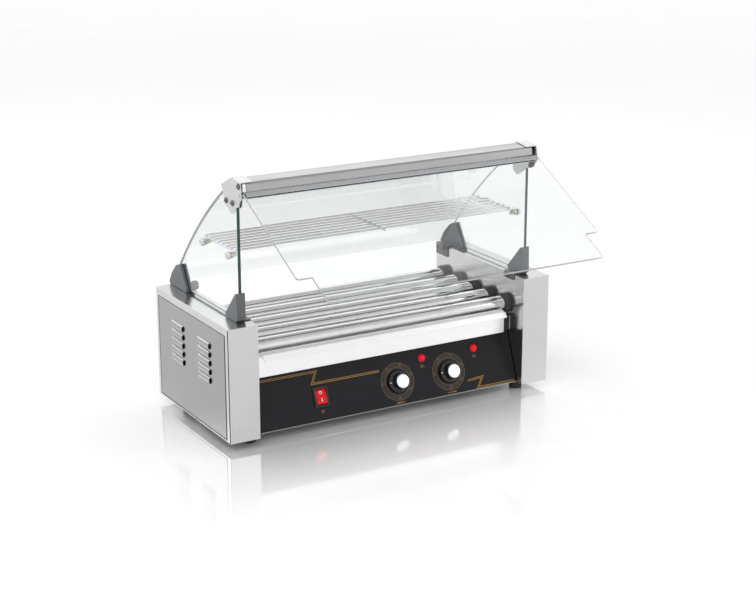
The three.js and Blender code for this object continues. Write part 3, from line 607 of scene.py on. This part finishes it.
def side_cover(side_name):
    """One grid of points over the whole cover. At a louvre's front end the sheet is cut open."""
    side = SIDES[side_name]
    y_lines = [front + LOUVRE_LENGTH * share for front in LOUVRE_FRONTS for share in LINES_ALONG]
    z_lines = [middle + LOUVRE_HALF * share for middle in LOUVRE_ROWS_Z for share in LINES_ACROSS]
    for inset in (0, COVER_RIM):
        for y, z in cover_rectangle(1, inset)[::2]:
            y_lines.append(y)
            z_lines.append(z)
    y_lines.sort()
    z_lines.sort()
    # The sheet takes the darker cover steel, which is painted shade.
    piece = Piece("side_cover_" + side_name + "_sheet", STEEL_COVER_PAINTED_SHADE)
    corners = {}

    def corner(i, j, behind):
        y, z = y_lines[i], z_lines[j]
        height = louvre_height(y, z)
        at_mouth = any(abs(y - front) < 1e-7 for front in LOUVRE_FRONTS)
        if at_mouth and not behind:
            height = 0.0
        key = (i, j, at_mouth and height > 0)
        if key not in corners:
            corners[key] = piece.shape.verts.new((side * (OUTER_X + height), y, z))
        return corners[key]

    for i in range(len(y_lines) - 1):
        for j in range(len(z_lines) - 1):
            piece.shape.faces.new([corner(i, j, True), corner(i + 1, j, False),
                                   corner(i + 1, j + 1, False), corner(i, j + 1, True)])
    made = piece.finish(["side_cover_" + side_name], sharp=24)
    solid = made.modifiers.new("thickness", "SOLIDIFY")
    solid.thickness = COVER_THICKNESS
    solid.offset = -1
    if (made.data.polygons[0].normal.x > 0) != (side > 0):
        made.data.flip_normals()


for side_name in SIDES:
    side_cover(side_name)


# ---------- housings, with painted shadow strips at their front folds and round the side covers ---
def housing_shadow_strips(side_name):
    """Painted shadow strips: a dark line standing in for the shadow in the front fold, and a dark ring
    standing in for the shadow in the gap round the side cover's edge.
    """
    side = SIDES[side_name]
    piece = Piece("housing_shadow_strips_" + side_name, PAINTED_SHADE)
    skin = axes((side * OUTER_X, 0, 0), Y, Z)
    fold = rectangle(FRONT + 0.8 * MM, FRONT + 4.0 * MM, BODY_BOTTOM + 1 * MM, BODY_TOP - 1.6 * MM)
    piece.prism(rounded(fold, 0.8 * MM), skin, *sorted((-side * 0.2 * MM, side * 0.06 * MM)))
    piece.ring(cover_rectangle(0, -0.2 * MM), cover_rectangle(1, 0.4 * MM), skin,
               *sorted((-side * 0.5 * MM, -side * 0.2 * MM)))
    piece.finish()


for side_name in SIDES:
    dress("housing_" + side_name, STEEL, 0.7 * MM)
    housing_shadow_strips(side_name)

dress("base_and_back", STEEL_BACK, 0.35 * MM)
# The tray's near-white steel is painted light.
dress("drip_tray", STEEL_TRAY_PAINTED_LIGHT, 0.45 * MM)
dress("control_panel", PANEL_BLACK, 0.3 * MM)
dress("flap_rail", ALUMINIUM, 0.35 * MM)
dress("switch_case", BLACK_PLASTIC, 0.5 * MM)
dress("motor_sprocket", GALVANISED, 0.2 * MM)
dress("gear_motor", GALVANISED, 0.6 * MM)
dress("drive_chain", GALVANISED, 0.3 * MM)
for side_name in SIDES:
    dress("hood_bracket_" + side_name, STEEL_BRACKET, 0.35 * MM)
    dress("front_clamp_" + side_name, CLAMP_PLASTIC, 1.0 * MM)
    dress("rear_clamp_" + side_name, CLAMP_PLASTIC, 1.0 * MM)
for number in (1, 2):
    dress(f"thermostat_{number}", CERAMIC, 0.8 * MM)
for number in range(1, ROLLER_COUNT + 1):
    dress(f"heater_{number}", GALVANISED, 0.3 * MM)


# ---------- rollers and their collars ----------
CHAIN_PITCH = 6.35 * MM
ROLLER_TEETH = 15
TOOTH = 1.6 * MM
# One tooth: shares of the pitch, each with how far up the tooth it lies.
TOOTH_SHAPE = ((0, 0), (0.2, 0), (0.4, 0), (0.52, 0.75), (0.62, 1), (0.78, 1), (0.88, 0.75))
ROLLER_RADIUS = 12.5 * MM
ROLLER_WALL = 1.3 * MM


def sprocket_outline(teeth):
    """A sprocket's outline, one TOOTH_SHAPE after another."""
    root = teeth * CHAIN_PITCH / (2 * math.pi) - TOOTH
    outline = []
    for tooth in range(teeth):
        for part, lift in TOOTH_SHAPE:
            angle = 2 * math.pi * (tooth + part) / teeth
            radius = root + lift * TOOTH * 1.5
            outline.append((radius * math.cos(angle), radius * math.sin(angle)))
    return outline


def roller_place(number):
    """A frame on a roller's axis, with z along it to the right."""
    axis = JOINTS[f"roller_{number}_spin"]["pos_m"]
    return axes((0, axis[1], axis[2]), Y, Z)


def roller(number):
    """The polished tube with its rolled ends, and the sprocket on its right end."""
    low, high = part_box(f"roller_{number}")
    place = roller_place(number)
    piece = Piece(f"roller_{number}_tube", CHROME, GALVANISED)
    section = rounded(rectangle(ROLLER_RADIUS - ROLLER_WALL, ROLLER_RADIUS, low.x, high.x),
                      [0.3 * MM, 1.0 * MM, 1.0 * MM, 0.3 * MM])
    piece.lathe(section, place, 72, closed=True)
    teeth = sprocket_outline(ROLLER_TEETH)
    sprocket_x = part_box("motor_sprocket")[0].x + 1 * MM
    piece.ring(teeth, round_hole(teeth, ROLLER_RADIUS + 0.02 * MM), place, sprocket_x, sprocket_x + 3 * MM, 1)
    piece.finish([f"roller_{number}"], body=f"roller_{number}")


def collar(number, side_name):
    """Flanged bearing collar with a stepped face and a lip round the roller."""
    side = SIDES[side_name]
    node = f"bushing_{side_name}_{number}"
    low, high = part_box(node)
    face, end = (distance / MM for distance in x_span(node))
    wall = end - 4.8
    bore, hub, flange = 12.8, 14.2, (high.z - low.z) / 2 / MM
    profile = [(bore, face, 0.5), (14.2, face, 0.5), (14.6, face + 1.1, 0.3), (15.6, face + 1.1, 0.8),
               (flange, face + 2.4, 0.8), (flange, wall, 0.3), (hub, wall, 0.2), (hub, end, 0.3),
               (bore, end, 0.3)]
    piece = Piece(node + "_collar", COLLAR_PLASTIC)
    section = in_mm([(radius, side * x, corner) for radius, x, corner in profile])
    piece.lathe(section, roller_place(number), 64, closed=True)
    piece.finish([node])


for number in range(1, ROLLER_COUNT + 1):
    roller(number)
    for side_name in SIDES:
        collar(number, side_name)


# ---------- control panel: print, knobs, lamps and switch ----------
PRINT = 0.05 * MM                       # thickness of the printed ink


def band(piece, points, width=0.55 * MM):
    """A printed line on the panel through points (x, up)."""
    edges = zip(shifted(points, width / 2), shifted(points, -width / 2))
    rings = [[(*left, 0), (*right, 0), (*right, PRINT), (*left, PRINT)] for left, right in edges]
    piece.rings(rings, on_panel(0, 0))


def pinstripes():
    """Two double lines with a zigzag, one from the left edge and one to the right edge."""
    left = in_mm([(-238, 77), (-123, 77), (-133, 58.7), (-12, 58.7)])
    right = in_mm([(147, 16), (176, 18), (164.5, 1.8), (236, 1.8)])
    piece = Piece("panel_pinstripes", GOLD_INK)
    for path in (left, right):
        for offset in (-1.15 * MM, 1.15 * MM):
            band(piece, shifted(path, offset), 0.8 * MM)
    piece.finish()


DIAL_RING_INNER = 22 * MM
DIAL_RING_OUTER = 30.5 * MM
DIAL_START = math.radians(180)
DIAL_SWEEP = math.radians(270)
DIAL_DIVISIONS = 50
DIAL_FIGURES = ("50", "100", "150", "200", "250", "300")
TICK_FOOT = 23.2 * MM
FIGURE_RADIUS = 27.3 * MM
FIGURE_SIZE = 4.4 * MM


def dial_ring(number, x):
    """The printed scale round a knob: rings, ticks and the temperature figures."""
    piece = Piece(f"dial_scale_{number}", RING_INK, BAND_INK)
    place = on_panel(x, KNOB_UP)
    piece.ring(circle(DIAL_RING_OUTER, 96), circle(DIAL_RING_INNER, 96), place, 0, PRINT / 2, 1)
    for radius in (DIAL_RING_INNER, DIAL_RING_OUTER):
        piece.ring(circle(radius, 96), circle(radius - 0.5 * MM, 96), place, 0, PRINT)
    for step in range(DIAL_DIVISIONS + 1):
        major = step % 10 == 0
        length = (2.2 if major else 1.3) * MM
        half = (0.4 if major else 0.25) * MM
        turn = place @ Matrix.Rotation(DIAL_START - DIAL_SWEEP * step / DIAL_DIVISIONS, 4, "Z")
        piece.prism(rectangle(TICK_FOOT, TICK_FOOT + length, -half, half), turn, 0, PRINT)
    for index, figure in enumerate(DIAL_FIGURES):
        angle = DIAL_START - DIAL_SWEEP * index / (len(DIAL_FIGURES) - 1)
        turn = place @ Matrix.Rotation(angle, 4, "Z") @ Matrix.Translation((FIGURE_RADIUS, 0, 0))
        piece.text(figure, turn @ Matrix.Rotation(-math.pi / 2, 4, "Z"), FIGURE_SIZE, PRINT)
    piece.finish()


KNOB_FLUTES = 24
FLUTE_DEPTH = 0.55 * MM


def knob(number):
    """Skirted knob: pointer line on the skirt, fluted grip and a bright metal cap."""
    place = axes(JOINTS[f"knob_{number}_turn"]["pos_m"], X, panel_up)
    top, skirt, shaft = 17.5, 17.5, 3.3

    def flutes(angle, radius, level):
        on_grip = 6.6 * MM < level < (top - 1.4) * MM and radius > 9 * MM
        return radius - FLUTE_DEPTH * wave(KNOB_FLUTES, angle) if on_grip else radius

    piece = Piece(f"knob_{number}_body", BLACK_PLASTIC, CAP_METAL, WHITE_MARK)
    profile = [(0, 11), (shaft, 11), (shaft, 1.2), (skirt - 1.4, 1), (skirt, 1), (skirt, 4.2, 1),
               (13.4, 5.4, 0.6), (12.8, 6.2), (12.75, 7), (12.7, 8.5), (12.6, 10.5), (12.5, 12.5),
               (12.4, 14.5), (12.35, top - 1.6), (12.3, top - 1.2), (12.2, top - 0.6),
               (11.7, top - 0.2), (11.2, top - 0.2), (11.1, top - 0.9), (0, top - 0.9)]
    piece.lathe(in_mm(profile, steps=4, closed=False), place, 144, flutes=flutes)
    cap = [(0, top - 0.8), (11, top - 0.8, 0.1), (11, top + 0.15, 0.5), (9.6, top + 0.6, 1.5),
           (0, top + 0.75)]
    piece.lathe(in_mm(cap, closed=False), place, 72, 1)
    piece.prism(in_mm(rectangle(-17, -13.9, -0.65, 0.65)), place, 3.9 * MM, 5.45 * MM, 2)
    piece.finish([f"knob_{number}"], body=f"knob_{number}")


LAMP_UP = 66.6 * MM
LENS_RADIUS = 6.45


def pilot_lamp(number):
    """Red domed lens in a thin dark rim, with its body behind the panel."""
    node = f"pilot_lamp_{number}"
    place = on_panel(middle_of(node).x, LAMP_UP)
    piece = Piece(node + "_lens", RED_LENS, BLACK_PLASTIC)
    rim = [(5.2, 0.1), (7.8, 0.1), (7.8, 1.3), (6.7, 1.9), (6.2, 1.2), (5.2, 1.2)]
    piece.lathe(in_mm(rim, corner=0.3), place, 48, 1, closed=True)
    lens = [(0, 0.8), (LENS_RADIUS, 0.8)] + dome(LENS_RADIUS, 1.3, 5.1, 9) + [(0, 6.4)]
    piece.lathe(in_mm(lens), place, 48)
    body = [(0, -0.2), (5.1, -0.2, 0.1), (5.1, -2), (8, -2, 0.5), (8, -5.8, 0.5), (4.6, -5.8),
            (4.6, -19.8, 0.5), (0, -19.8)]
    piece.lathe(in_mm(body, steps=4, closed=False), place, 32, 1)
    piece.finish([node])


def panel_symbols():
    """Small generic pictograms in place of words: power, heat waves, and front and rear rollers."""
    piece = Piece("panel_symbols", GOLD_INK)
    x, up = JOINTS["switch_rocker_tip"]["pos_m"][0], 13.5 * MM
    angles = [math.radians(125 + 290 * step / 20) for step in range(21)]
    band(piece, [(x + 2.4 * MM * math.cos(angle), up + 2.4 * MM * math.sin(angle)) for angle in angles])
    band(piece, [(x, up + 0.2 * MM), (x, up + 3.2 * MM)])
    for number in (1, 2):
        for wave_number in (-1, 0, 1):
            x = middle_of(f"pilot_lamp_{number}").x + wave_number * 2.6 * MM
            band(piece, [(x + 0.6 * MM * math.sin(step * math.pi / 4), (51.4 + step * 0.55) * MM)
                         for step in range(9)], 0.5 * MM)
        dial_x = JOINTS[f"knob_{number}_turn"]["pos_m"][0]
        for dot in range(ROLLER_COUNT):
            centre = (dial_x + (dot - 2) * 3.4 * MM, 2.9 * MM)
            chosen = dot < 3 if number == 1 else dot >= 3
            hole = (0.05 if chosen else 0.85) * MM
            piece.ring(circle(1.25 * MM, 20, centre), circle(hole, 20, centre), on_panel(0, 0), 0, PRINT)
    piece.finish()


ROCKER_TIP = math.radians(9)
ROCKER_HALF = 12 * MM
ROCKER_WIDTH = 17.6 * MM
ROCKER_CROWN = 6.2 * MM
ROCKER_EDGE = 4.2 * MM


def rocker_height(share):
    """How far the rocker's face stands out at a share of its half length from its middle."""
    return ROCKER_EDGE + (ROCKER_CROWN - ROCKER_EDGE) * (1 - share ** 1.5)


def rocker():
    """Lit red rocker with a ring mark above and a bar mark below."""
    up = (panel_up * math.cos(ROCKER_TIP) - panel_out * math.sin(ROCKER_TIP)).normalized()
    out = panel_out * math.cos(ROCKER_TIP) + panel_up * math.sin(ROCKER_TIP)
    place = axes(JOINTS["switch_rocker_tip"]["pos_m"], up.cross(out), up)
    shares = [step / 8 for step in range(-8, 9)]
    front = [(ROCKER_HALF * share, rocker_height(abs(share))) for share in shares]
    foot = -1 * MM
    corners = [0.8 * MM] + [0] * 15 + [0.8 * MM, 0.4 * MM, 0.4 * MM]
    section = rounded(front + [(ROCKER_HALF, foot), (-ROCKER_HALF, foot)], corners, 4)
    side_on = place @ Matrix(((0, 0, 1, 0), (1, 0, 0, 0), (0, 1, 0, 0), (0, 0, 0, 1)))
    piece = Piece("switch_rocker_key", RED_ROCKER, WHITE_MARK)
    piece.prism(section, side_on, -ROCKER_WIDTH / 2, ROCKER_WIDTH / 2)
    level = rocker_height(0.5)
    marks = (level - 1.0 * MM, level + 0.5 * MM, 1)
    centre = (0, 6 * MM)
    piece.ring(circle(2.5 * MM, 40, centre), circle(1.7 * MM, 40, centre), place, *marks)
    piece.prism(in_mm(rectangle(-0.5, 0.5, -8.6, -3.4), corner=0.3), place, *marks)
    piece.finish(["switch_rocker"], body="switch_rocker", bevel=0.25 * MM)


pinstripes()
panel_symbols()
rocker()
for number in (1, 2):
    knob(number)
    pilot_lamp(number)
    dial_ring(number, JOINTS[f"knob_{number}_turn"]["pos_m"][0])


# ---------- hood: panes ----------
# The screen's arc as (back from the front of the body, up): its radius and the two places it runs through.
ARC_RADIUS = 790 * MM
ARC_TOP = Vector((69, 385)) * MM
ARC_END = Vector((261, 198)) * MM


def arc_centre():
    """The centre of the arc, in front of the chord and below it."""
    chord = ARC_END - ARC_TOP
    middle = (ARC_TOP + ARC_END) / 2
    away = Vector((-chord.y, chord.x)).normalized()
    return middle - away * math.sqrt(ARC_RADIUS ** 2 - chord.length_squared / 4)


CENTRE = arc_centre()


def arc_points(radius, z_low, y_top, steps):
    """Points of the screen's arc from its foot up to a place near the top bar."""
    start = math.asin((z_low - CENTRE.y) / radius)
    end = math.acos((y_top - CENTRE.x) / radius)
    angles = [start + (end - start) * step / steps for step in range(steps + 1)]
    return [(CENTRE.x + radius * math.cos(angle), CENTRE.y + radius * math.sin(angle)) for angle in angles]


def side_pane(side_name):
    """Tempered side glass: straight front edge, and a rear edge that follows the curved screen."""
    node = "side_glass_" + side_name
    low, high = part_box(node)
    rear = arc_points(ARC_RADIUS, low.z + 1.5 * MM, 44 * MM, 40)
    front = low.y - FRONT
    outline = [(front, low.z), (rear[0][0], low.z)] + rear + [(40 * MM, high.z), (front, high.z)]
    place = axes((middle_of(node).x, FRONT, 0), Y, Z)
    half = (high.x - low.x) / 2
    piece = Piece(node + "_pane", GLASS, GLASS_EDGE)
    piece.pane(outline, place, -half, half, 0.5 * MM)
    piece.finish([node])


SCREEN_GAP = 0.3 * MM
SCREEN_THICKNESS = 2.5 * MM
SCREEN_ARRIS = 0.3 * MM
SCREEN_STEPS = 48


def rear_screen():
    """Curved acrylic rear screen, an even arc with ground edges."""
    low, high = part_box("rear_screen")
    ends = (low.z + 0.2 * MM, 52.4 * MM, SCREEN_STEPS)
    inner_arc = arc_points(ARC_RADIUS + SCREEN_GAP, *ends)
    outer_arc = arc_points(ARC_RADIUS + SCREEN_GAP + SCREEN_THICKNESS, *ends)
    points = []
    for x, step_in in ((low.x, SCREEN_ARRIS), (low.x + SCREEN_ARRIS, 0),
                       (high.x - SCREEN_ARRIS, 0), (high.x, SCREEN_ARRIS)):
        for inside, outside in zip(inner_arc, outer_arc):
            inner, outer = (Vector((x, FRONT + y, z)) for y, z in (inside, outside))
            way = (outer - inner).normalized() * step_in
            points += [inner + way, outer - way]

    def quad(*corners):
        """The numbers of four points, each given as (row, step, inner 0 or outer 1)."""
        return tuple((row * (SCREEN_STEPS + 1) + step) * 2 + face for row, step, face in corners)

    faces, edges = [], []
    for row in range(3):
        target = faces if row == 1 else edges
        for step in range(SCREEN_STEPS):
            for face in (0, 1):
                target.append(quad((row, step, face), (row, step + 1, face),
                                   (row + 1, step + 1, face), (row + 1, step, face)))
        for step in (0, SCREEN_STEPS):
            edges.append(quad((row, step, 0), (row + 1, step, 0), (row + 1, step, 1), (row, step, 1)))
    for row in (0, 3):
        for step in range(SCREEN_STEPS):
            edges.append(quad((row, step, 0), (row, step, 1), (row, step + 1, 1), (row, step + 1, 0)))
    piece = Piece("rear_screen_sheet", ACRYLIC, SCREEN_EDGE)
    piece.faces(points, faces)
    piece.faces(points, edges, 1)
    piece.finish(["rear_screen"], sharp=3)


def flap_sheet():
    """Clear front flap, notched at its lower corners. It hangs from the hinge axis, y up the sheet."""
    joint = JOINTS["flap_hinge"]
    opened = math.radians(-joint["range_deg"][0])
    place = axes(joint["pos_m"], X, (0, math.sin(opened), math.cos(opened)))
    wide, tongue = 260.2, 236
    top, notch, end = -5.5, -191.5, -245.5
    half_outline = [(wide, top, 0.5), (wide, notch, 5), (tongue, notch, 1.5), (tongue, end, 5)]
    outline = [(-x, y, corner) for x, y, corner in half_outline] + half_outline[::-1]
    offset, half = 6 * MM, 1.5 * MM
    z_way = place.to_3x3() @ Z
    middle = offset if z_way.y < 0 else -offset
    piece = Piece("flap_sheet_pane", ACRYLIC, ACRYLIC_EDGE)
    piece.pane(in_mm(outline), place, middle - half, middle + half, 0.35 * MM)
    piece.finish(["flap_sheet"], body="flap")


for side_name in SIDES:
    side_pane(side_name)
rear_screen()
flap_sheet()


# ---------- hood: top bar and bracket screws ----------
def top_bar():
    """Folded cover bar with round bends."""
    low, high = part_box("top_bar")
    path = in_mm([(70, 395), (32, 413), (6, 409.5), (4, 397)])
    piece = Piece("top_bar_sheet", STEEL_BAR)
    piece.prism(folded(path, 1.5 * MM, 5 * MM), axes((0, FRONT, 0), Y, Z), low.x, high.x)
    piece.finish(["top_bar"], bevel=0.3 * MM, sharp=25)


def screw(piece, place, head, rise, washer=0.0):
    """Pan head screw with a cross recess, standing on the local origin; the recess is a thin near-black
    cross, painted shade. Its sizes are in millimetres.
    """
    base = 0.0
    if washer:
        base = 0.55
        section = in_mm(rectangle(2, washer, 0, 0.6), corner=0.15)
        piece.lathe(section, place, 32, closed=True)
    top = base + rise
    profile = [(0, base), (head, base)] + dome(head, base + 0.5, rise - 0.5, 6)
    profile += [(0.9, top), (0.5, top - 0.9), (0, top - 1)]
    piece.lathe(in_mm(profile), place, 32)
    # The cross recess: a thin cross in the piece's second material, painted shade standing in for the
    # recess's depth.
    for quarter in (0, 1):
        arm = place @ Matrix.Rotation(math.pi / 2 * quarter + 0.4, 4, "Z")
        piece.prism(in_mm(rectangle(-1.9, 1.9, -0.42, 0.42)), arm, (top - 0.25) * MM, (top + 0.02) * MM, 1)


def bracket_screws(side_name):
    """Two glass screws low on the bracket and the bar's end screw near its front corner."""
    side = SIDES[side_name]
    face = x_span("hood_bracket_" + side_name)[1]
    piece = Piece("bracket_screws_" + side_name, SCREW_STEEL, PAINTED_SHADE)
    for y, z in ((53, 375.6), (31.8, 375.6), (10.4, 404.6)):
        screw(piece, axes((side * face, FRONT + y * MM, z * MM), Y * side, Z), 3.9, 2.3, 4.8)
    piece.finish()


top_bar()
for side_name in SIDES:
    bracket_screws(side_name)


# ---------- bun rack and its pins ----------
RACK_WIRES = 8
WIRE = 1.6 * MM
CROSS_WIRE = 1.8 * MM


def rod(piece, start, end, radius):
    """A wire with rounded ends between two points."""
    start, end = Vector(start), Vector(end)
    way = (end - start).normalized()
    side = way.orthogonal()
    length = (end - start).length
    angles = [math.pi / 2 * step / 4 for step in range(1, 5)]
    tip = [(radius * math.sin(angle), radius * (1 - math.cos(angle))) for angle in angles]
    profile = [(0, 0)] + tip + [(r, length - h) for r, h in tip[::-1]] + [(0, length)]
    piece.lathe(profile, axes(start, side, way.cross(side)), 16)


def bun_rack():
    """Eight long wires welded on three crossbars, with a weld bead at each crossing."""
    low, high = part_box("bun_rack")
    piece = Piece("bun_rack_wires", CHROME_WIRE)
    wire_z = high.z - WIRE
    cross_z = low.z + CROSS_WIRE
    front, rear = low.y + 3 * MM, high.y - 3 * MM
    xs = (low.x + 2 * MM, low.x + 255 * MM, high.x - 2 * MM)
    weld = in_mm([(0, -1.3), (1.5, -0.9), (2.1, 0), (1.5, 0.9), (0, 1.3)])
    for index in range(RACK_WIRES):
        y = front + (rear - front) * index / (RACK_WIRES - 1)
        rod(piece, (low.x, y, wire_z), (high.x, y, wire_z), WIRE)
        for x in xs:
            piece.lathe(weld, axes((x, y, (wire_z + cross_z) / 2), X, Y), 12)
    for x in xs:
        rod(piece, (x, low.y, cross_z), (x, high.y, cross_z), CROSS_WIRE)
    piece.finish(["bun_rack"])


def rack_pin(place_name, side_name):
    """Chrome pin with a domed cap outside the glass and a clear sleeve inside it."""
    node = f"rack_pin_{place_name}_{side_name}"
    glass_inner, glass_outer = (distance / MM for distance in x_span("side_glass_right"))
    inner, outer = (distance / MM for distance in x_span(node))
    place = axes((0, *middle_of(node)[1:]), Y * SIDES[side_name], Z)
    piece = Piece(node + "_turned", CHROME_WIRE, SLEEVE)
    shaft = 2.8
    seat = glass_inner - 0.3
    washer = seat - 2.1
    cap = glass_outer + 0.3
    profile = [(0, inner), (1.9, inner, 0.4), (1.9, washer), (5, washer, 0.4), (5, seat, 0.4),
               (shaft, seat), (shaft, cap), (6, cap, 0.4), (6, cap + 3.2, 1.2), (4.6, outer - 0.5, 2),
               (0, outer)]
    piece.lathe(in_mm(profile, closed=False), place, 40)
    sleeve = in_mm(rectangle(1.95, 3.3, inner + 0.4, washer - 0.05), corner=0.3)
    piece.lathe(sleeve, place, 32, 1, closed=True)
    piece.finish([node])


bun_rack()
for place_name in ("front", "rear"):
    for side_name in SIDES:
        rack_pin(place_name, side_name)


# ---------- clamp screws and thumb knobs ----------
def clamp_hardware(side_name):
    """The tab screws of the clamps and the thumb knob that tightens the rear clamp."""
    side = SIDES[side_name]
    piece = Piece("clamp_hardware_" + side_name, SCREW_STEEL, PAINTED_SHADE, CLAMP_PLASTIC)
    tab_face = side * (INNER_X - 1.8 * MM)
    for y, z in ((42, 189.2), (246.5, 187.5), (259, 187.5)):
        screw(piece, axes((tab_face, FRONT + y * MM, z * MM), Y * -side, Z), 2.9, 1.6)

    def flutes(angle, radius, level):
        return radius * (1 - 0.07 * wave(10, angle)) if radius > 5 * MM else radius

    thumb = axes((tab_face, FRONT + 233 * MM, 195.5 * MM), Y * -side, Z)
    profile = [(0, -0.1), (3.2, -0.1), (3.2, 1.6, 0.4), (7.6, 2, 0.8), (7.6, 9, 1.4), (5.6, 10.2, 1.5),
               (0, 10.6)]
    piece.lathe(in_mm(profile, closed=False), thumb, 80, 2, flutes=flutes)
    piece.finish()


for side_name in SIDES:
    clamp_hardware(side_name)


# ---------- tray stops, feet and cord gland ----------
def tray_stop(side_name):
    """Black moulded bumper over the stop at the front end of the tray rail."""
    side = SIDES[side_name]
    piece = Piece("tray_stop_" + side_name, BLACK_PLASTIC)
    outline = rectangle(side * (INNER_X - 12.5 * MM), side * (INNER_X - 0.15 * MM),
                        FRONT + 37.5 * MM, FRONT + 48.6 * MM)
    piece.prism(rounded(outline, 1.6 * MM), axes((0, 0, 0), X, Y), 98 * MM, 122.8 * MM)
    piece.finish(bevel=0.8 * MM)


def foot(place_name, side_name):
    """Rubber foot with a waist groove, a bevelled sole and a screw recess."""
    node = f"foot_{place_name}_{side_name}"
    low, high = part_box(node)
    x, y, _ = middle_of(node)
    edge, top = (high.x - low.x) / 2 / MM, high.z / MM
    piece = Piece(node + "_rubber", RUBBER, SCREW_STEEL)
    profile = [(0, 3.5), (4, 3.5, 0.3), (4, 0, 0.5), (edge - 1.6, 0, 0.6), (edge, 2, 1.2),
               (edge - 0.3, 7, 0.4), (edge - 1.2, 7.8, 0.4), (edge - 1.2, 8.8, 0.4),
               (edge - 0.4, 9.4, 0.4), (edge - 0.8, top, 0.4), (0, top)]
    piece.lathe(in_mm(profile, steps=4, closed=False), axes((x, y, 0), X, Y), 56)
    head = in_mm([(0, 0), (3.4, 0), (3.3, 0.9), (2.2, 1.6), (0, 1.8)])
    piece.lathe(head, axes((x, y, 3.4 * MM), X, -Y), 32, 1)
    piece.finish([node])


def cord_gland():
    """Cord inlet: hexagonal nut inside, flange and ribbed collar outside, open for the cord."""
    x, _, z = middle_of("cord_gland")
    place = axes((x, REAR, z), X, -Z)
    piece = Piece("cord_gland_body", BLACK_PLASTIC)
    profile = [(3.6, -8.6), (6, -8.6, 0.4), (6, 0.3), (9, 0.3, 0.3), (9, 2.5, 0.6), (6.9, 3.1, 0.5),
               (6.2, 6, 0.8), (3.6, 6, 0.3)]

    def ribs(angle, radius, level):
        on_collar = 0.8 * MM < level < 5 * MM and radius > 5 * MM
        return radius * (1 - 0.05 * wave(16, angle)) if on_collar else radius

    piece.lathe(in_mm(profile, steps=4), place, 96, closed=True, flutes=ribs)
    nut = rounded(circle(8 * MM, 6), 0.8 * MM, 3)
    piece.ring(nut, round_hole(nut, 6.02 * MM), place, -6.5 * MM, -1.6 * MM)
    piece.finish(["cord_gland"])


cord_gland()
for side_name in SIDES:
    tray_stop(side_name)
    for place_name in ("front", "rear"):
        foot(place_name, side_name)


# ---------- floor, light and world ----------
def add_floor():
    """A white floor, polished round the grill's foot and matt further out."""
    bpy.ops.mesh.primitive_plane_add(size=60, location=(0, 0, 0))
    floor = bpy.context.object
    floor.name = "floor"
    s = Shading("floor_white")
    cloud = s.noise(3, detail=2.0)
    place = s.node("SeparateXYZ", {0: s.node("TexCoord").outputs["Object"]}).outputs
    beside = s.math("MULTIPLY", s.math("SUBTRACT", s.math("ABSOLUTE", place["X"]), OUTER_X), 2.2)
    before = s.math("SUBTRACT", panel_low.y, place["Y"])
    behind = s.math("SUBTRACT", place["Y"], REAR)
    away = s.math("MAXIMUM", s.math("MAXIMUM", beside, before), behind)
    s.set(Base_Color=s.blend(s.ramp(cloud, 0, 1), grey(0.94), grey(0.96)),
          Metallic=s.ramp(away, 0.55, 0.0, 0.0, 0.24), Roughness=s.ramp(cloud, 0.07, 0.09),
          Specular_IOR_Level=0.1)
    floor.data.materials.append(s.material)


def add_softbox(name, place, aim, size, power):
    """A rectangular area light at a place, turned to its aim."""
    data = bpy.data.lights.new(name, "AREA")
    data.shape = "RECTANGLE"
    data.size, data.size_y = size
    data.energy = power
    light = bpy.data.objects.new(name, data)
    bpy.context.scene.collection.objects.link(light)
    light.location = place
    light.rotation_mode = "QUATERNION"
    light.rotation_quaternion = (Vector(aim) - Vector(place)).to_track_quat("-Z", "Y")


def add_world():
    """A white studio that is brightest near the horizon and calmer overhead."""
    world = bpy.data.worlds.new("studio")
    world.use_nodes = True
    nodes, links = world.node_tree.nodes, world.node_tree.links
    way = nodes.new("ShaderNodeTexCoord")
    parts = nodes.new("ShaderNodeSeparateXYZ")
    spread = nodes.new("ShaderNodeMapRange")
    for name, value in (("From Min", 0.0), ("From Max", 0.9), ("To Min", 1.3), ("To Max", 0.7)):
        spread.inputs[name].default_value = value
    links.new(way.outputs["Generated"], parts.inputs[0])
    links.new(parts.outputs["Z"], spread.inputs["Value"])
    links.new(spread.outputs["Result"], nodes["Background"].inputs["Strength"])
    nodes["Background"].inputs["Color"].default_value = (1.0, 1.0, 1.0, 1.0)
    bpy.context.scene.world = world


add_floor()
add_softbox("softbox_top", (-0.9, -0.5, 2.5), (0, 0, 0), (1.8, 1.8), 16)
add_softbox("softbox_right", (2.4, -1.7, 1.1), (0.1, 0, 0.1), (1.1, 1.2), 9)
add_softbox("softbox_back", (1.35, 1.95, 1.85), (0, 0, 0.35), (1.8, 0.7), 4)
add_softbox("softbox_left", (-0.95, 2.2, 1.35), (-0.3, 0.1, 0.1), (1.1, 0.9), 6)
add_world()
bpy.context.scene.view_settings.view_transform = "Standard"
